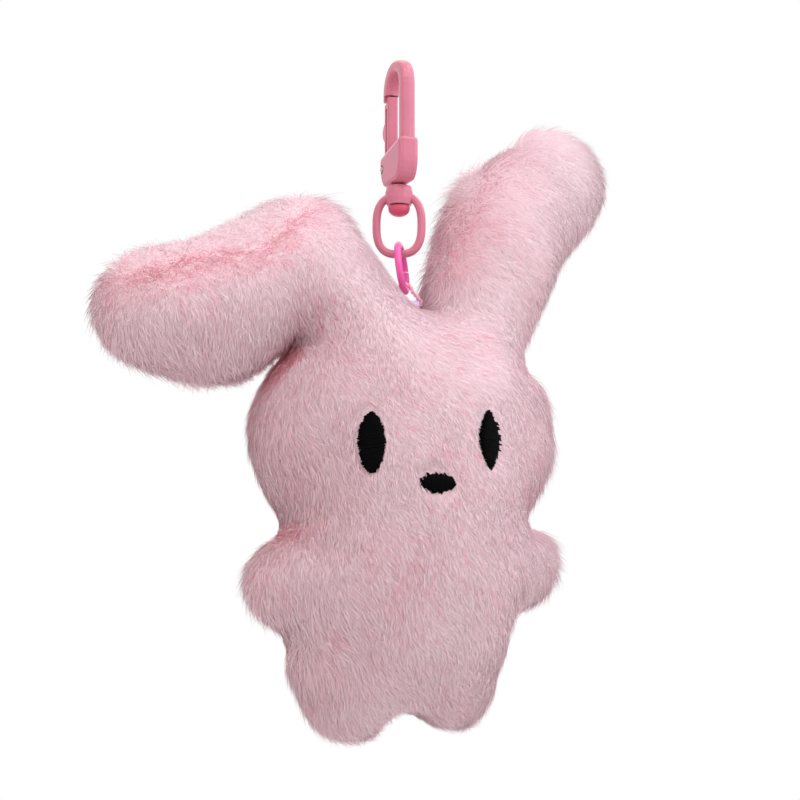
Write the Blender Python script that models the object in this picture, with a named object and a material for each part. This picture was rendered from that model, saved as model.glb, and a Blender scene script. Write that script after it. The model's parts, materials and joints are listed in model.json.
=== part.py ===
"""Plush rabbit keychain.

A rabbit sewn from a front and a back panel of fur cloth hangs by a ribbon tab, a cord loop
and a jump ring from a swivel snap hook. Metres, +Z up. The rabbit faces -Y, and left and
right are as seen from the front. The origin is the inside top of the hook, where the ring
or strap that carries the keychain bears.
"""

import math

import bmesh
import bpy
import numpy as np
from mathutils import Matrix, Vector, geometry
from mathutils.bvhtree import BVHTree

# Clearance between pieces that touch, and between turning ones
FIT = 0.0003

# Snap hook, which lies in the YZ plane with its spine to the front
HOOK_OPENING = 0.0066
HOOK_DEPTH = 0.0154
HOOK_BAR = 0.0027
HOOK_THICKNESS = 0.0030
HOOK_SQUARE_POWER = 3.4
NOSE_DEPTH = 0.0036
NOSE_LAP = 0.0012
BASE_HEIGHT = 0.0078
BASE_THICKNESS = 0.0042
BASE_FOOT = 0.0064
BASE_LIP = 0.0002
BASE_SLOPE = 0.0022
BASE_EDGE = 0.0009

# Gate, its pin and its spring
GATE_BAR = 0.0024
GATE_THICKNESS = 0.0022
GATE_EDGE = 0.0003
GATE_HEEL = 0.0016
GATE_ROOM = 0.0029
GATE_PIVOT_DROP = 0.487 * BASE_HEIGHT
GATE_GROOVE = 0.0009
GATE_GROOVE_DEPTH = 0.00035
THUMB_RISE = 0.0013
THUMB_LENGTH = 0.0042
PIN_RADIUS = 0.0006
PIN_HEAD = 0.0002
SPRING_RADIUS = 0.00072
SPRING_WIRE = 0.00032
SPRING_TURNS = 5
SPRING_POCKET = 0.0020
SPRING_RISE = 0.0021

# Swivel: a collar with a wire eye, turning on a riveted stud
SWIVEL_GAP = 0.0005
COLLAR_RADIUS = 0.0028
COLLAR_HEIGHT = 0.0038
COLLAR_BULGE = 0.0003
STUD_RADIUS = 0.0011
STUD_SOCKET = 0.0026
RIVET_RADIUS = 0.0022
RIVET_DOME = 0.0021
EYE_WIDTH = 0.0109
EYE_DROP = 0.0110
EYE_WIRE = 0.0017
EYE_SQUARE_POWER = 2.7
EYE_TURN = math.radians(-28)

# Jump ring, cord loop and ribbon tab
RING_DIAMETER = 0.0110
RING_WIRE = 0.00145
RING_LEAN = math.radians(7)
CORD_WIRE = 0.0009
CORD_RISE = 0.0044
CORD_LEAN = 0.0013
CORD_CORNER = 0.0009
TAB_WIDTH = 0.0030
TAB_RISE = 0.0013
TAB_DEPTH = 0.0013
RIBBON = 0.0004

# Rabbit's flat pattern about the middle of the head, cut to the width of the head
HEAD_WIDTH = 0.0588
HEAD_HALF_WIDTH = 0.513 * HEAD_WIDTH
HEAD_HALF_HEIGHT = 0.425 * HEAD_WIDTH
HEAD_SQUARE_POWER = 2.0
TORSO_HALF_WIDTH = 0.371 * HEAD_WIDTH
TORSO_HALF_HEIGHT = 0.340 * HEAD_WIDTH
TORSO_DROP = 0.561 * HEAD_WIDTH
TORSO_SQUARE_POWER = 2.6
ARM_RADIUS = 0.124 * HEAD_WIDTH
LEFT_ARM_REACH = 0.410 * HEAD_WIDTH
LEFT_ARM_DROP = 0.504 * HEAD_WIDTH
RIGHT_ARM_REACH = 0.428 * HEAD_WIDTH
RIGHT_ARM_DROP = 0.432 * HEAD_WIDTH
SHOULDER_REACH = 0.255 * HEAD_WIDTH
SHOULDER_DROP = 0.415 * HEAD_WIDTH
SHOULDER_RADIUS = 0.145 * HEAD_WIDTH
LEG_RADIUS = 0.146 * HEAD_WIDTH
LEFT_LEG_SPREAD = 0.187 * HEAD_WIDTH
LEFT_LEG_DROP = 0.866 * HEAD_WIDTH
RIGHT_LEG_SPREAD = 0.170 * HEAD_WIDTH
RIGHT_LEG_DROP = 0.824 * HEAD_WIDTH
HIP_DROP = 0.700 * HEAD_WIDTH
HIP_RADIUS = 0.167 * HEAD_WIDTH
LEFT_HIP_SPREAD = 0.212 * HEAD_WIDTH
RIGHT_HIP_SPREAD = 0.158 * HEAD_WIDTH

# Folded ear on the left: a stem that rises, then a blade that falls over
FOLD_ROOT_X = -0.136 * HEAD_WIDTH
FOLD_ROOT_RISE = 0.323 * HEAD_WIDTH
FOLD_ROOT_RADIUS = 0.180 * HEAD_WIDTH
FOLD_STEM = 0.350 * HEAD_WIDTH
FOLD_STEM_ANGLE = math.radians(130.7)
FOLD_BEND_RADIUS = 0.194 * HEAD_WIDTH
FOLD_BLADE = 0.369 * HEAD_WIDTH
FOLD_BLADE_ANGLE = math.radians(215)
FOLD_BLADE_RADIUS = 0.222 * HEAD_WIDTH
FOLD_END = 0.246 * HEAD_WIDTH
FOLD_END_ANGLE = math.radians(183)
FOLD_END_RADIUS = 0.170 * HEAD_WIDTH
FOLD_LEAN = -0.102 * HEAD_WIDTH
FOLD_FLAT_RATIO = 0.80

# Upright ear on the right, which leans back
TALL_ROOT_X = 0.289 * HEAD_WIDTH
TALL_ROOT_RISE = 0.459 * HEAD_WIDTH
TALL_ROOT_RADIUS = 0.180 * HEAD_WIDTH
TALL_STEM = 0.340 * HEAD_WIDTH
TALL_STEM_ANGLE = math.radians(65)
TALL_BLADE_RADIUS = 0.200 * HEAD_WIDTH
TALL_END = 0.308 * HEAD_WIDTH
TALL_END_ANGLE = math.radians(42)
TALL_END_RADIUS = 0.190 * HEAD_WIDTH
TALL_LEAN = 0.221 * HEAD_WIDTH
TALL_FLAT_RATIO = 1.0

# Cloth, filling and needlework
EAR_MARGIN_RATIO = 1.35
FUR_CLOTH = 0.0018
SEAM_GAP = 0.0003
PUFF_RATIO = 0.96
SEAM_BLEND = 3
CLOTH_STEP = 0.0042
TAB_SEAT_X = 0.037 * HEAD_WIDTH
FACE_SHIFT = -0.023 * HEAD_WIDTH
FACE_TILT = math.radians(3.1)
EYE_SPREAD = 0.198 * HEAD_WIDTH
EYE_DROP_ON_FACE = 0.061 * HEAD_WIDTH
EYE_HALF_WIDTH = 0.040 * HEAD_WIDTH
EYE_HALF_HEIGHT = 0.100 * HEAD_WIDTH
NOSE_DROP_ON_FACE = 0.200 * HEAD_WIDTH
NOSE_HALF_WIDTH = 0.059 * HEAD_WIDTH
NOSE_HALF_HEIGHT = 0.032 * HEAD_WIDTH
STITCH_RISE = 0.0009
STITCH_EDGE = 0.0003

# Rounds: how many sides a turned piece and a wire have
TURNED_SIDES = 28
WIRE_SIDES = 10
WIRE_STEPS = 44
CORD_SIDES = 8
CUT = 0.002


def colour(name, rgb, roughness, metallic=0.0):
    """A plain Principled material."""
    material = bpy.data.materials.new(name)
    material.use_nodes = True
    shader = material.node_tree.nodes["Principled BSDF"]
    shader.inputs["Base Color"].default_value = (*rgb, 1.0)
    shader.inputs["Roughness"].default_value = roughness
    shader.inputs["Metallic"].default_value = metallic
    material.diffuse_color = (*rgb, 1.0)
    return material


def place(name, points, faces, material=None, location=(0.0, 0.0, 0.0), turn=0.0, sharp=40):
    """A named mesh object with its normals facing out. Without a material it is a hidden helper."""
    mesh = bpy.data.meshes.new(name)
    mesh.from_pydata([tuple(p) for p in points], [], [tuple(f) for f in faces])
    work = bmesh.new()
    work.from_mesh(mesh)
    bmesh.ops.recalc_face_normals(work, faces=work.faces)
    work.to_mesh(mesh)
    work.free()
    mesh.shade_smooth()
    mesh.set_sharp_from_angle(angle=math.radians(sharp))
    thing = bpy.data.objects.new(name, mesh)
    bpy.context.scene.collection.objects.link(thing)
    thing.location = location
    thing.rotation_euler = (0.0, 0.0, turn)
    if material is None:
        thing.hide_render = True
        thing.display_type = "WIRE"
    else:
        mesh.materials.append(material)
    return thing


def combine(thing, other, operation):
    """Join a hidden helper to a piece, or cut it away."""
    step = thing.modifiers.new(other.name, "BOOLEAN")
    step.operation = operation
    step.solver = "EXACT"
    step.object = other


def round_edges(thing, width, segments=2):
    """Rounded edges where faces meet at a clear angle."""
    step = thing.modifiers.new("edges", "BEVEL")
    step.width = width
    step.segments = segments
    step.limit_method = "ANGLE"
    step.angle_limit = math.radians(40)


def box(name, low, high):
    """A hidden box between two corners."""
    ends = list(zip(low, high))
    points = [(x, y, z) for x in ends[0] for y in ends[1] for z in ends[2]]
    faces = [(0, 1, 3, 2), (4, 6, 7, 5), (0, 4, 5, 1), (2, 3, 7, 6), (0, 2, 6, 4), (1, 5, 7, 3)]
    return place(name, points, faces)


def plate(name, outline, thickness, material=None, location=(0.0, 0.0, 0.0)):
    """A closed (y, z) outline drawn out to a thickness along X."""
    count = len(outline)
    points = [(side * thickness / 2, y, z) for side in (-1, 1) for y, z in outline]
    faces = [tuple(range(count)), tuple(range(2 * count - 1, count - 1, -1))]
    faces += [(i, i + count, (i + 1) % count + count, (i + 1) % count) for i in range(count)]
    return place(name, points, faces, material, location)


def turned(name, profile, material=None, location=(0.0, 0.0, 0.0), lay=None, sides=TURNED_SIDES):
    """A solid turned from (radius, height) points that begin and end on the axis."""
    angles = [2 * math.pi * k / sides for k in range(sides)]
    inner = profile[1:-1]
    points = [Vector((0, 0, profile[0][1])), Vector((0, 0, profile[-1][1]))]
    points += [Vector((r * math.cos(a), r * math.sin(a), h)) for r, h in inner for a in angles]

    def at(ring, k):
        return 2 + ring * sides + k % sides

    last = len(inner) - 1
    faces = [(0, at(0, k), at(0, k + 1)) for k in range(sides)]
    faces += [(1, at(last, k + 1), at(last, k)) for k in range(sides)]
    for ring in range(last):
        for k in range(sides):
            faces.append((at(ring, k), at(ring + 1, k), at(ring + 1, k + 1), at(ring, k + 1)))
    if lay:
        swing = Matrix.Rotation(math.pi / 2, 3, lay)
        points = [swing @ p for p in points]
    return place(name, points, faces, material, location)


def wire(name, path, section, closed, material=None, location=(0.0, 0.0, 0.0), turn=0.0):
    """A wire or bar of the given section along a path, capped where the path is open."""
    path = np.asarray(path, dtype=float)
    sides = len(section)
    if closed:
        along = np.roll(path, -1, axis=0) - np.roll(path, 1, axis=0)
    else:
        along = np.gradient(path, axis=0)
    along /= np.linalg.norm(along, axis=1)[:, None]
    across = np.cross(along[0], along[len(along) // 4])
    if np.linalg.norm(across) < 1e-9:
        across = np.array((0.0, 1.0, 0.0))
    points = []
    for here, tangent in zip(path, along):
        across = across - tangent * np.dot(across, tangent)
        across /= np.linalg.norm(across)
        other = np.cross(tangent, across)
        points += [here + u * across + v * other for u, v in section]
    count = len(path)
    faces = []
    for ring in range(count if closed else count - 1):
        here, ahead = ring * sides, (ring + 1) % count * sides
        for k in range(sides):
            step = (k + 1) % sides
            faces.append((here + k, here + step, ahead + step, ahead + k))
    if not closed:
        faces += [tuple(range(sides)), tuple(range(len(points) - sides, len(points)))]
    return place(name, points, faces, material, location, turn, sharp=70)


def arc(centre, radius, start, end, steps):
    """Points on an arc, angles in degrees."""
    angles = np.radians(np.linspace(start, end, steps + 1))
    return [(centre[0] + radius * math.cos(a), centre[1] + radius * math.sin(a)) for a in angles]


def oval(half_width, half_height, squareness, steps, centre=(0.0, 0.0)):
    """A closed oval, squarer as its exponent rises above two."""
    points = []
    for a in np.linspace(0, 2 * math.pi, steps, endpoint=False):
        c, s = math.cos(a), math.sin(a)
        x = math.copysign(abs(c) ** (2 / squareness), c) * half_width
        z = math.copysign(abs(s) ** (2 / squareness), s) * half_height
        points.append((centre[0] + x, centre[1] + z))
    return points


def disc(diameter, sides):
    """The section of a round wire."""
    return oval(diameter / 2, diameter / 2, 2, sides)


def capsule(first, first_radius, second, second_radius):
    """Outline round two discs: the shape of an arm, a leg or a stretch of an ear."""
    run = Vector(second) - Vector(first)
    heading = math.degrees(math.atan2(run.y, run.x))
    lean = math.degrees(math.acos(max(-0.999, min(0.999, (first_radius - second_radius) / run.length))))
    tip = arc(second, second_radius, heading - lean, heading + lean, 14)
    return tip + arc(first, first_radius, heading + lean, heading + 360 - lean, 14)


def rim_of(triangles):
    """The longest loop of edges that bound a flat triangulation, in order."""
    edges = {(t[k], t[(k + 1) % 3]) for t in triangles for k in range(3)}
    ahead = {a: b for a, b in edges if (b, a) not in edges}
    loops = []
    while ahead:
        loop = [next(iter(sorted(ahead)))]
        while loop[-1] in ahead:
            loop.append(ahead.pop(loop[-1]))
        loops.append(loop[:-1])
    return max(loops, key=len)


def even_loop(points, step, blend):
    """A closed loop with even steps, its corners eased."""
    closed = np.vstack([points, points[:1]])
    length = np.concatenate([[0.0], np.cumsum(np.linalg.norm(np.diff(closed, axis=0), axis=1))])
    fine = np.linspace(0, length[-1], 6 * round(length[-1] / step), endpoint=False)
    loop = np.column_stack([np.interp(fine, length, closed[:, k]) for k in (0, 1)])
    for _ in range(6 * blend):
        loop = (np.roll(loop, 1, axis=0) + 2 * loop + np.roll(loop, -1, axis=0)) / 4
    return loop[::6]


def inside(points, outline):
    """Which points lie inside a closed outline."""
    x, z = points[:, :1], points[:, 1:]
    ahead = np.roll(outline, -1, axis=0)
    rise = ahead[:, 1] - outline[:, 1]
    share = (z - outline[:, 1]) / np.where(rise == 0, 1, rise)
    meets = outline[:, 0] + share * (ahead[:, 0] - outline[:, 0])
    crossed = ((outline[:, 1] > z) != (ahead[:, 1] > z)) & (x < meets)
    return crossed.sum(axis=1) % 2 == 1


def triangulate(points, faces):
    """Flat triangles inside the given outlines; works in millimetres for its tolerance."""
    scaled = [Vector((p[0] * 1000, p[1] * 1000)) for p in points]
    made = geometry.delaunay_2d_cdt(scaled, [], faces, 1, 1e-4)
    return np.array([tuple(v) for v in made[0]]) / 1000, [tuple(t) for t in made[2]]


def ear_chains():
    """Each ear's line and radii, how far its end leans out of the seam plane, and its fullness."""
    fold = [Vector((FOLD_ROOT_X, FOLD_ROOT_RISE))]
    for length, heading in (
        (FOLD_STEM, FOLD_STEM_ANGLE),
        (FOLD_BLADE, FOLD_BLADE_ANGLE),
        (FOLD_END, FOLD_END_ANGLE),
    ):
        fold.append(fold[-1] + length * Vector((math.cos(heading), math.sin(heading))))
    tall = [Vector((TALL_ROOT_X, TALL_ROOT_RISE))]
    for length, heading in ((TALL_STEM, TALL_STEM_ANGLE), (TALL_END, TALL_END_ANGLE)):
        tall.append(tall[-1] + length * Vector((math.cos(heading), math.sin(heading))))
    fold_radii = (FOLD_ROOT_RADIUS, FOLD_BEND_RADIUS, FOLD_BLADE_RADIUS, FOLD_END_RADIUS)
    tall_radii = (TALL_ROOT_RADIUS, TALL_BLADE_RADIUS, TALL_END_RADIUS)
    return [
        (fold, fold_radii, FOLD_LEAN, FOLD_FLAT_RATIO),
        (tall, tall_radii, TALL_LEAN, TALL_FLAT_RATIO),
    ]


def pattern_outline():
    """The seam line of the rabbit: the union of its head, body, limb and ear shapes, corners eased."""
    shapes = [
        oval(HEAD_HALF_WIDTH, HEAD_HALF_HEIGHT, HEAD_SQUARE_POWER, 64),
        oval(TORSO_HALF_WIDTH, TORSO_HALF_HEIGHT, TORSO_SQUARE_POWER, 48, (0, -TORSO_DROP)),
    ]
    left_hand, right_hand = (-LEFT_ARM_REACH, -LEFT_ARM_DROP), (RIGHT_ARM_REACH, -RIGHT_ARM_DROP)
    for side, hand in ((-1, left_hand), (1, right_hand)):
        shoulder = (side * SHOULDER_REACH, -SHOULDER_DROP)
        shapes.append(capsule(shoulder, SHOULDER_RADIUS, hand, ARM_RADIUS))
    left_foot, right_foot = (-LEFT_LEG_SPREAD, -LEFT_LEG_DROP), (RIGHT_LEG_SPREAD, -RIGHT_LEG_DROP)
    for reach, foot in ((-LEFT_HIP_SPREAD, left_foot), (RIGHT_HIP_SPREAD, right_foot)):
        shapes.append(capsule((reach, -HIP_DROP), HIP_RADIUS, foot, LEG_RADIUS))
    for chain, radii, _, _ in ear_chains():
        for k in range(len(chain) - 1):
            shapes.append(capsule(chain[k], radii[k], chain[k + 1], radii[k + 1]))
    points = [p for shape in shapes for p in shape]
    starts = np.cumsum([0] + [len(shape) for shape in shapes])
    faces = [list(range(a, b)) for a, b in zip(starts[:-1], starts[1:])]
    flat, triangles = triangulate(points, faces)
    return even_loop(flat[rim_of(triangles)], CLOTH_STEP, SEAM_BLEND)


def along_ear(points, chain, radii):
    """How far along an ear each point of the pattern is: 0 at its root and off it, 1 at its end."""
    lengths = [(b - a).length for a, b in zip(chain, chain[1:])]
    nearest = np.full(len(points), np.inf)
    along = np.zeros(len(points))
    member = np.zeros(len(points), dtype=bool)
    for k, length in enumerate(lengths):
        start = np.array(chain[k])
        run = np.array(chain[k + 1]) - start
        part = np.clip((points - start) @ run / length**2, 0, 1)
        gap = np.linalg.norm(points - start - part[:, None] * run, axis=1)
        member |= gap < EAR_MARGIN_RATIO * (radii[k] + (radii[k + 1] - radii[k]) * part)
        along = np.where(gap < nearest, sum(lengths[:k]) + part * length, along)
        nearest = np.minimum(gap, nearest)
    return np.where(member, along / sum(lengths), 0.0)


def stuffed_shape():
    """Both faces of the stuffed rabbit over one flat triangulation.

    The half depth is the root of the height that a pressed membrane takes over the pattern,
    which gives a long strip of cloth a round section.
    """
    outline = pattern_outline()
    ahead = np.roll(outline, -1, axis=0) - np.roll(outline, 1, axis=0)
    inward = np.column_stack([-ahead[:, 1], ahead[:, 0]]) / np.linalg.norm(ahead, axis=1)[:, None]
    near, far = outline + 0.28 * CLOTH_STEP * inward, outline + 0.9 * CLOTH_STEP * inward
    low, high = outline.min(axis=0), outline.max(axis=0)
    rows = []
    for k, z in enumerate(np.arange(low[1], high[1], CLOTH_STEP * 0.866)):
        x = np.arange(low[0] + (k % 2) * CLOTH_STEP / 2, high[0], CLOTH_STEP)
        rows.append(np.column_stack([x, np.full(len(x), z)]))
    grid = np.vstack(rows)
    grid = grid[inside(grid, far)]
    near = near[inside(near, outline)]
    flat, triangles = triangulate(np.vstack([outline, near, grid]), [list(range(len(outline)))])
    rim = rim_of(triangles)
    index = np.array(triangles)
    edges = [flat[index[:, (k + 2) % 3]] - flat[index[:, (k + 1) % 3]] for k in range(3)]
    area = 0.5 * np.abs(edges[0][:, 0] * edges[1][:, 1] - edges[0][:, 1] * edges[1][:, 0])
    stiff, load = np.zeros((len(flat), len(flat))), np.zeros(len(flat))
    for i in range(3):
        np.add.at(load, index[:, i], 2 * area / 3)
        for j in range(3):
            np.add.at(stiff, (index[:, i], index[:, j]), (edges[i] * edges[j]).sum(axis=1) / (4 * area))
    free = np.setdiff1d(np.arange(len(flat)), rim)
    height = np.zeros(len(flat))
    height[free] = np.linalg.solve(stiff[np.ix_(free, free)], load[free])
    return flat, triangles, rim, PUFF_RATIO * np.sqrt(np.maximum(height, 0))


def out_normals(points, triangles):
    """Smooth outward normals of a closed surface."""
    index = np.array(triangles)
    a, b, c = (points[index[:, k]] for k in range(3))
    face = np.cross(b - a, c - a)
    normals = np.zeros_like(points)
    for k in range(3):
        np.add.at(normals, index[:, k], face)
    return normals / np.linalg.norm(normals, axis=1)[:, None]


def rabbit_surfaces():
    """Outer skin points, outward normals, and the triangles of the front and of the back."""
    flat, triangles, rim, depth = stuffed_shape()
    middle = np.zeros(len(flat))
    for chain, radii, reach, flatness in ear_chains():
        part = along_ear(flat, chain, radii)
        middle += reach * part**2 * (3 - part) / 2
        depth = depth * (1 - (1 - flatness) * part * (2 - part))
    on_rim = np.zeros(len(flat), dtype=bool)
    on_rim[rim] = True
    inner = np.flatnonzero(~on_rim)
    behind = np.arange(len(flat))
    behind[inner] = len(flat) + np.arange(len(inner))
    front_points = np.column_stack([flat[:, 0], middle - depth, flat[:, 1]])
    back_points = np.column_stack([flat[:, 0], middle + depth, flat[:, 1]])[inner]
    points = np.vstack([front_points, back_points])
    front = [tuple(t) for t in triangles]
    back = [tuple(behind[k] for k in reversed(t)) for t in triangles]
    return points, out_normals(points, front + back), front, back, rim


def panel(name, points, normals, triangles, rim, shift, material):
    """One sewn panel: its outer face, its inner face a cloth's thickness away, and its seam edge."""
    used = sorted({k for t in triangles for k in t})
    slot = {k: i for i, k in enumerate(used)}
    count = len(used)
    outer = points[used]
    body = np.vstack([outer, outer - FUR_CLOTH * normals[used]]) + np.array((0.0, shift, 0.0))
    faces = [tuple(slot[k] for k in t) for t in triangles]
    faces += [tuple(slot[k] + count for k in reversed(t)) for t in triangles]
    loop = [slot[k] for k in rim]
    faces += [(a, b, b + count, a + count) for a, b in zip(loop, loop[1:] + loop[:1])]
    return place(name, body, faces, material, sharp=60)


def needlework(name, centre, half_width, half_height, skin, material):
    """A padded patch of satin stitch that follows the face under it."""
    rings, sides = 3, 20
    spots = [(0.0, 0.0)]
    for ring in range(1, rings + 1):
        for k in range(sides):
            a = 2 * math.pi * k / sides
            spots.append((ring / rings * math.cos(a), ring / rings * math.sin(a)))
    tilt = Matrix.Rotation(FACE_TILT, 2)
    low, high = [], []
    for u, v in spots:
        x, z = centre + tilt @ Vector((u * half_width, v * half_height))
        start = Vector((x, -1.0, z))
        hit, normal = skin.ray_cast(start, Vector((0, 1, 0)))[:2]
        crown = STITCH_EDGE + (STITCH_RISE - STITCH_EDGE) * math.sqrt(max(0.0, 1 - u * u - v * v))
        low.append(hit + normal * FIT)
        high.append(hit + normal * (FIT + crown))
    count = len(spots)

    def at(ring, k):
        return 1 + (ring - 1) * sides + k % sides

    faces = [(0, at(1, k), at(1, k + 1)) for k in range(sides)]
    for ring in range(1, rings):
        for k in range(sides):
            faces.append((at(ring, k), at(ring + 1, k), at(ring + 1, k + 1), at(ring, k + 1)))
    under = [tuple(k + count for k in reversed(f)) for f in faces]
    rim = [at(rings, k) for k in range(sides)]
    edge = [(a, a + count, b + count, b) for a, b in zip(rim, rim[1:] + rim[:1])]
    return place(name, high + low, faces + under + edge, material, sharp=60)


def build_hook(levels, paint):
    """The cast hook with its base, cut for the gate, the pin, the spring and the swivel stud."""
    reach = HOOK_OPENING / 2
    middle = reach + HOOK_BAR / 2
    outer = reach + HOOK_BAR
    sunk = levels["base_top"] - BASE_HEIGHT / 2
    nose_end = -NOSE_DEPTH - NOSE_LAP
    line = [(-middle, sunk)] + arc((0, -reach), middle, 180, 0, 18) + [(middle, nose_end)]
    section = oval(HOOK_THICKNESS / 2, HOOK_BAR / 2, HOOK_SQUARE_POWER, 16)
    hook = wire("clasp_hook", [(0, y, z) for y, z in line], section, False, paint)
    lap = box(
        "nose_lap",
        (-HOOK_THICKNESS, reach - CUT, nose_end - CUT),
        (HOOK_THICKNESS, middle + FIT / 2, -NOSE_DEPTH),
    )
    combine(hook, lap, "DIFFERENCE")
    top, bottom = levels["base_top"], levels["base_bottom"]
    shoulder = top - 0.4 * BASE_HEIGHT
    wide, foot = outer + BASE_LIP, BASE_FOOT / 2
    curve = [
        (wide - (wide - foot) * (1 - math.cos(a)), shoulder - (shoulder - bottom) * math.sin(a))
        for a in np.radians(np.linspace(0, 90, 7))
    ]
    block = [(-wide, top + BASE_SLOPE / 2), (wide, top - BASE_SLOPE / 2)]
    block += curve + [(-y, z) for y, z in reversed(curve)]
    base = plate("clasp_base", block[::-1], BASE_THICKNESS)
    round_edges(base, BASE_EDGE)
    combine(hook, base, "UNION")
    half = GATE_THICKNESS / 2 + FIT
    wall = levels["gate_y"] - GATE_ROOM
    slot = box(
        "gate_slot",
        (-half, wall, levels["pivot_z"] - GATE_HEEL - FIT),
        (half, wide + CUT, top + BASE_SLOPE / 2 + CUT),
    )
    combine(hook, slot, "DIFFERENCE")
    hole = PIN_RADIUS + FIT
    reach_out = BASE_THICKNESS / 2 + CUT
    bore = turned(
        "pin_bore",
        [(0, -reach_out), (hole, -reach_out), (hole, reach_out), (0, reach_out)],
        location=(0, levels["gate_y"], levels["pivot_z"]),
        lay="Y",
    )
    combine(hook, bore, "DIFFERENCE")
    pocket = SPRING_RADIUS + SPRING_WIRE / 2 + FIT
    well = turned(
        "spring_well",
        [(0, -CUT / 2), (pocket, -CUT / 2), (pocket, SPRING_POCKET), (0, SPRING_POCKET)],
        location=(0, wall, levels["pivot_z"] + SPRING_RISE),
        lay="X",
    )
    combine(hook, well, "DIFFERENCE")
    socket = turned(
        "stud_socket",
        [(0, -CUT), (STUD_RADIUS + FIT, -CUT), (STUD_RADIUS + FIT, STUD_SOCKET), (0, STUD_SOCKET)],
        location=(0, 0, bottom),
    )
    combine(hook, socket, "DIFFERENCE")
    return hook


def build_gate(levels, paint, steel):
    """The sprung gate, whose origin is on its pin, with the pin and the coil that closes it."""
    y, z = levels["gate_y"], levels["pivot_z"]
    half = GATE_BAR / 2
    spread = math.degrees(math.acos(half / GATE_HEEL))
    lap_top = -NOSE_DEPTH - FIT - z
    shoulder = lap_top - NOSE_LAP
    outline = arc((0, 0), GATE_HEEL, 180 - spread, 360 + spread, 16)
    thumb_low = GATE_PIVOT_DROP + BASE_SLOPE
    for k in range(9):
        share = k / 8
        bump = THUMB_RISE * math.sin(math.pi * share) ** 0.8
        outline.append((half + bump, thumb_low + share * THUMB_LENGTH))
    outline += [(half, shoulder), (-FIT / 2, shoulder), (-FIT / 2, lap_top), (-half, lap_top)]
    gate = plate("clasp_gate", outline, GATE_THICKNESS, paint, (0, y, z))
    round_edges(gate, GATE_EDGE)
    hole = PIN_RADIUS + FIT
    reach_out = GATE_THICKNESS / 2 + CUT
    bore = turned(
        "gate_bore",
        [(0, -reach_out), (hole, -reach_out), (hole, reach_out), (0, reach_out)],
        location=(0, y, z),
        lay="Y",
    )
    combine(gate, bore, "DIFFERENCE")
    for side in (-1, 1):
        floor = side * (GATE_THICKNESS / 2 - GATE_GROOVE_DEPTH)
        face = side * (GATE_THICKNESS / 2 + CUT)
        groove = box(
            f"gate_groove_{'back' if side < 0 else 'face'}",
            (min(floor, face), y - GATE_GROOVE / 2, z + GATE_PIVOT_DROP),
            (max(floor, face), y + GATE_GROOVE / 2, z + shoulder - GATE_BAR / 2),
        )
        combine(gate, groove, "DIFFERENCE")
    end = BASE_THICKNESS / 2 + PIN_HEAD
    tip = PIN_RADIUS * 0.7
    shank = [(PIN_RADIUS, -end + PIN_HEAD), (PIN_RADIUS, end - PIN_HEAD)]
    profile = [(0, -end), (tip, -end)] + shank + [(tip, end), (0, end)]
    turned("gate_pin", profile, steel, (0, y, z), lay="Y", sides=20)
    first = y - GATE_ROOM - SPRING_POCKET + FIT + SPRING_WIRE / 2
    last = y - half - FIT - SPRING_WIRE / 2
    coil = []
    for k in range(12 * SPRING_TURNS + 1):
        a = math.pi * k / 6
        share = k / (12 * SPRING_TURNS)
        coil.append((SPRING_RADIUS * math.cos(a), (last - first) * share, SPRING_RADIUS * math.sin(a)))
    wire("gate_spring", coil, disc(SPRING_WIRE, 6), False, steel, (0, first, z + SPRING_RISE))
    return gate


def build_swivel(levels, paint, rivet_paint):
    """The riveted stud and the eye that turns on it."""
    top, bottom = levels["collar_top"], levels["collar_bottom"]
    head = [
        (RIVET_RADIUS * math.cos(a), bottom - FIT - RIVET_DOME * (0.25 + 0.75 * math.sin(a)))
        for a in np.radians(np.linspace(0, 75, 6))
    ]
    shank_top = levels["base_bottom"] + STUD_SOCKET - FIT
    shank = [(0, shank_top), (STUD_RADIUS, shank_top), (STUD_RADIUS, bottom - FIT)]
    flange = [(RIVET_RADIUS, bottom - FIT)]
    turned("swivel_rivet", shank + flange + head + [(0, bottom - FIT - RIVET_DOME)], rivet_paint)
    half_height = (levels["collar_middle"] - levels["eye_low"]) / 2
    centre = levels["eye_low"] + half_height
    loop = oval((EYE_WIDTH - EYE_WIRE) / 2, half_height, EYE_SQUARE_POWER, WIRE_STEPS, (0, centre))
    path = [(x, 0, z) for x, z in loop]
    eye = wire("swivel_eye", path, disc(EYE_WIRE, WIRE_SIDES), True, paint, turn=EYE_TURN)
    waist = COLLAR_RADIUS - COLLAR_BULGE
    bulge = [(COLLAR_RADIUS, (2 * top + bottom) / 3), (COLLAR_RADIUS, (top + 2 * bottom) / 3)]
    collar = turned("eye_collar", [(0, top), (waist, top)] + bulge + [(waist, bottom), (0, bottom)])
    combine(eye, collar, "UNION")
    hole = STUD_RADIUS + FIT
    over, under = top + CUT, bottom - CUT / 4
    bore = turned("eye_bore", [(0, over), (hole, over), (hole, under), (0, under)])
    combine(eye, bore, "DIFFERENCE")
    return eye


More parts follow.
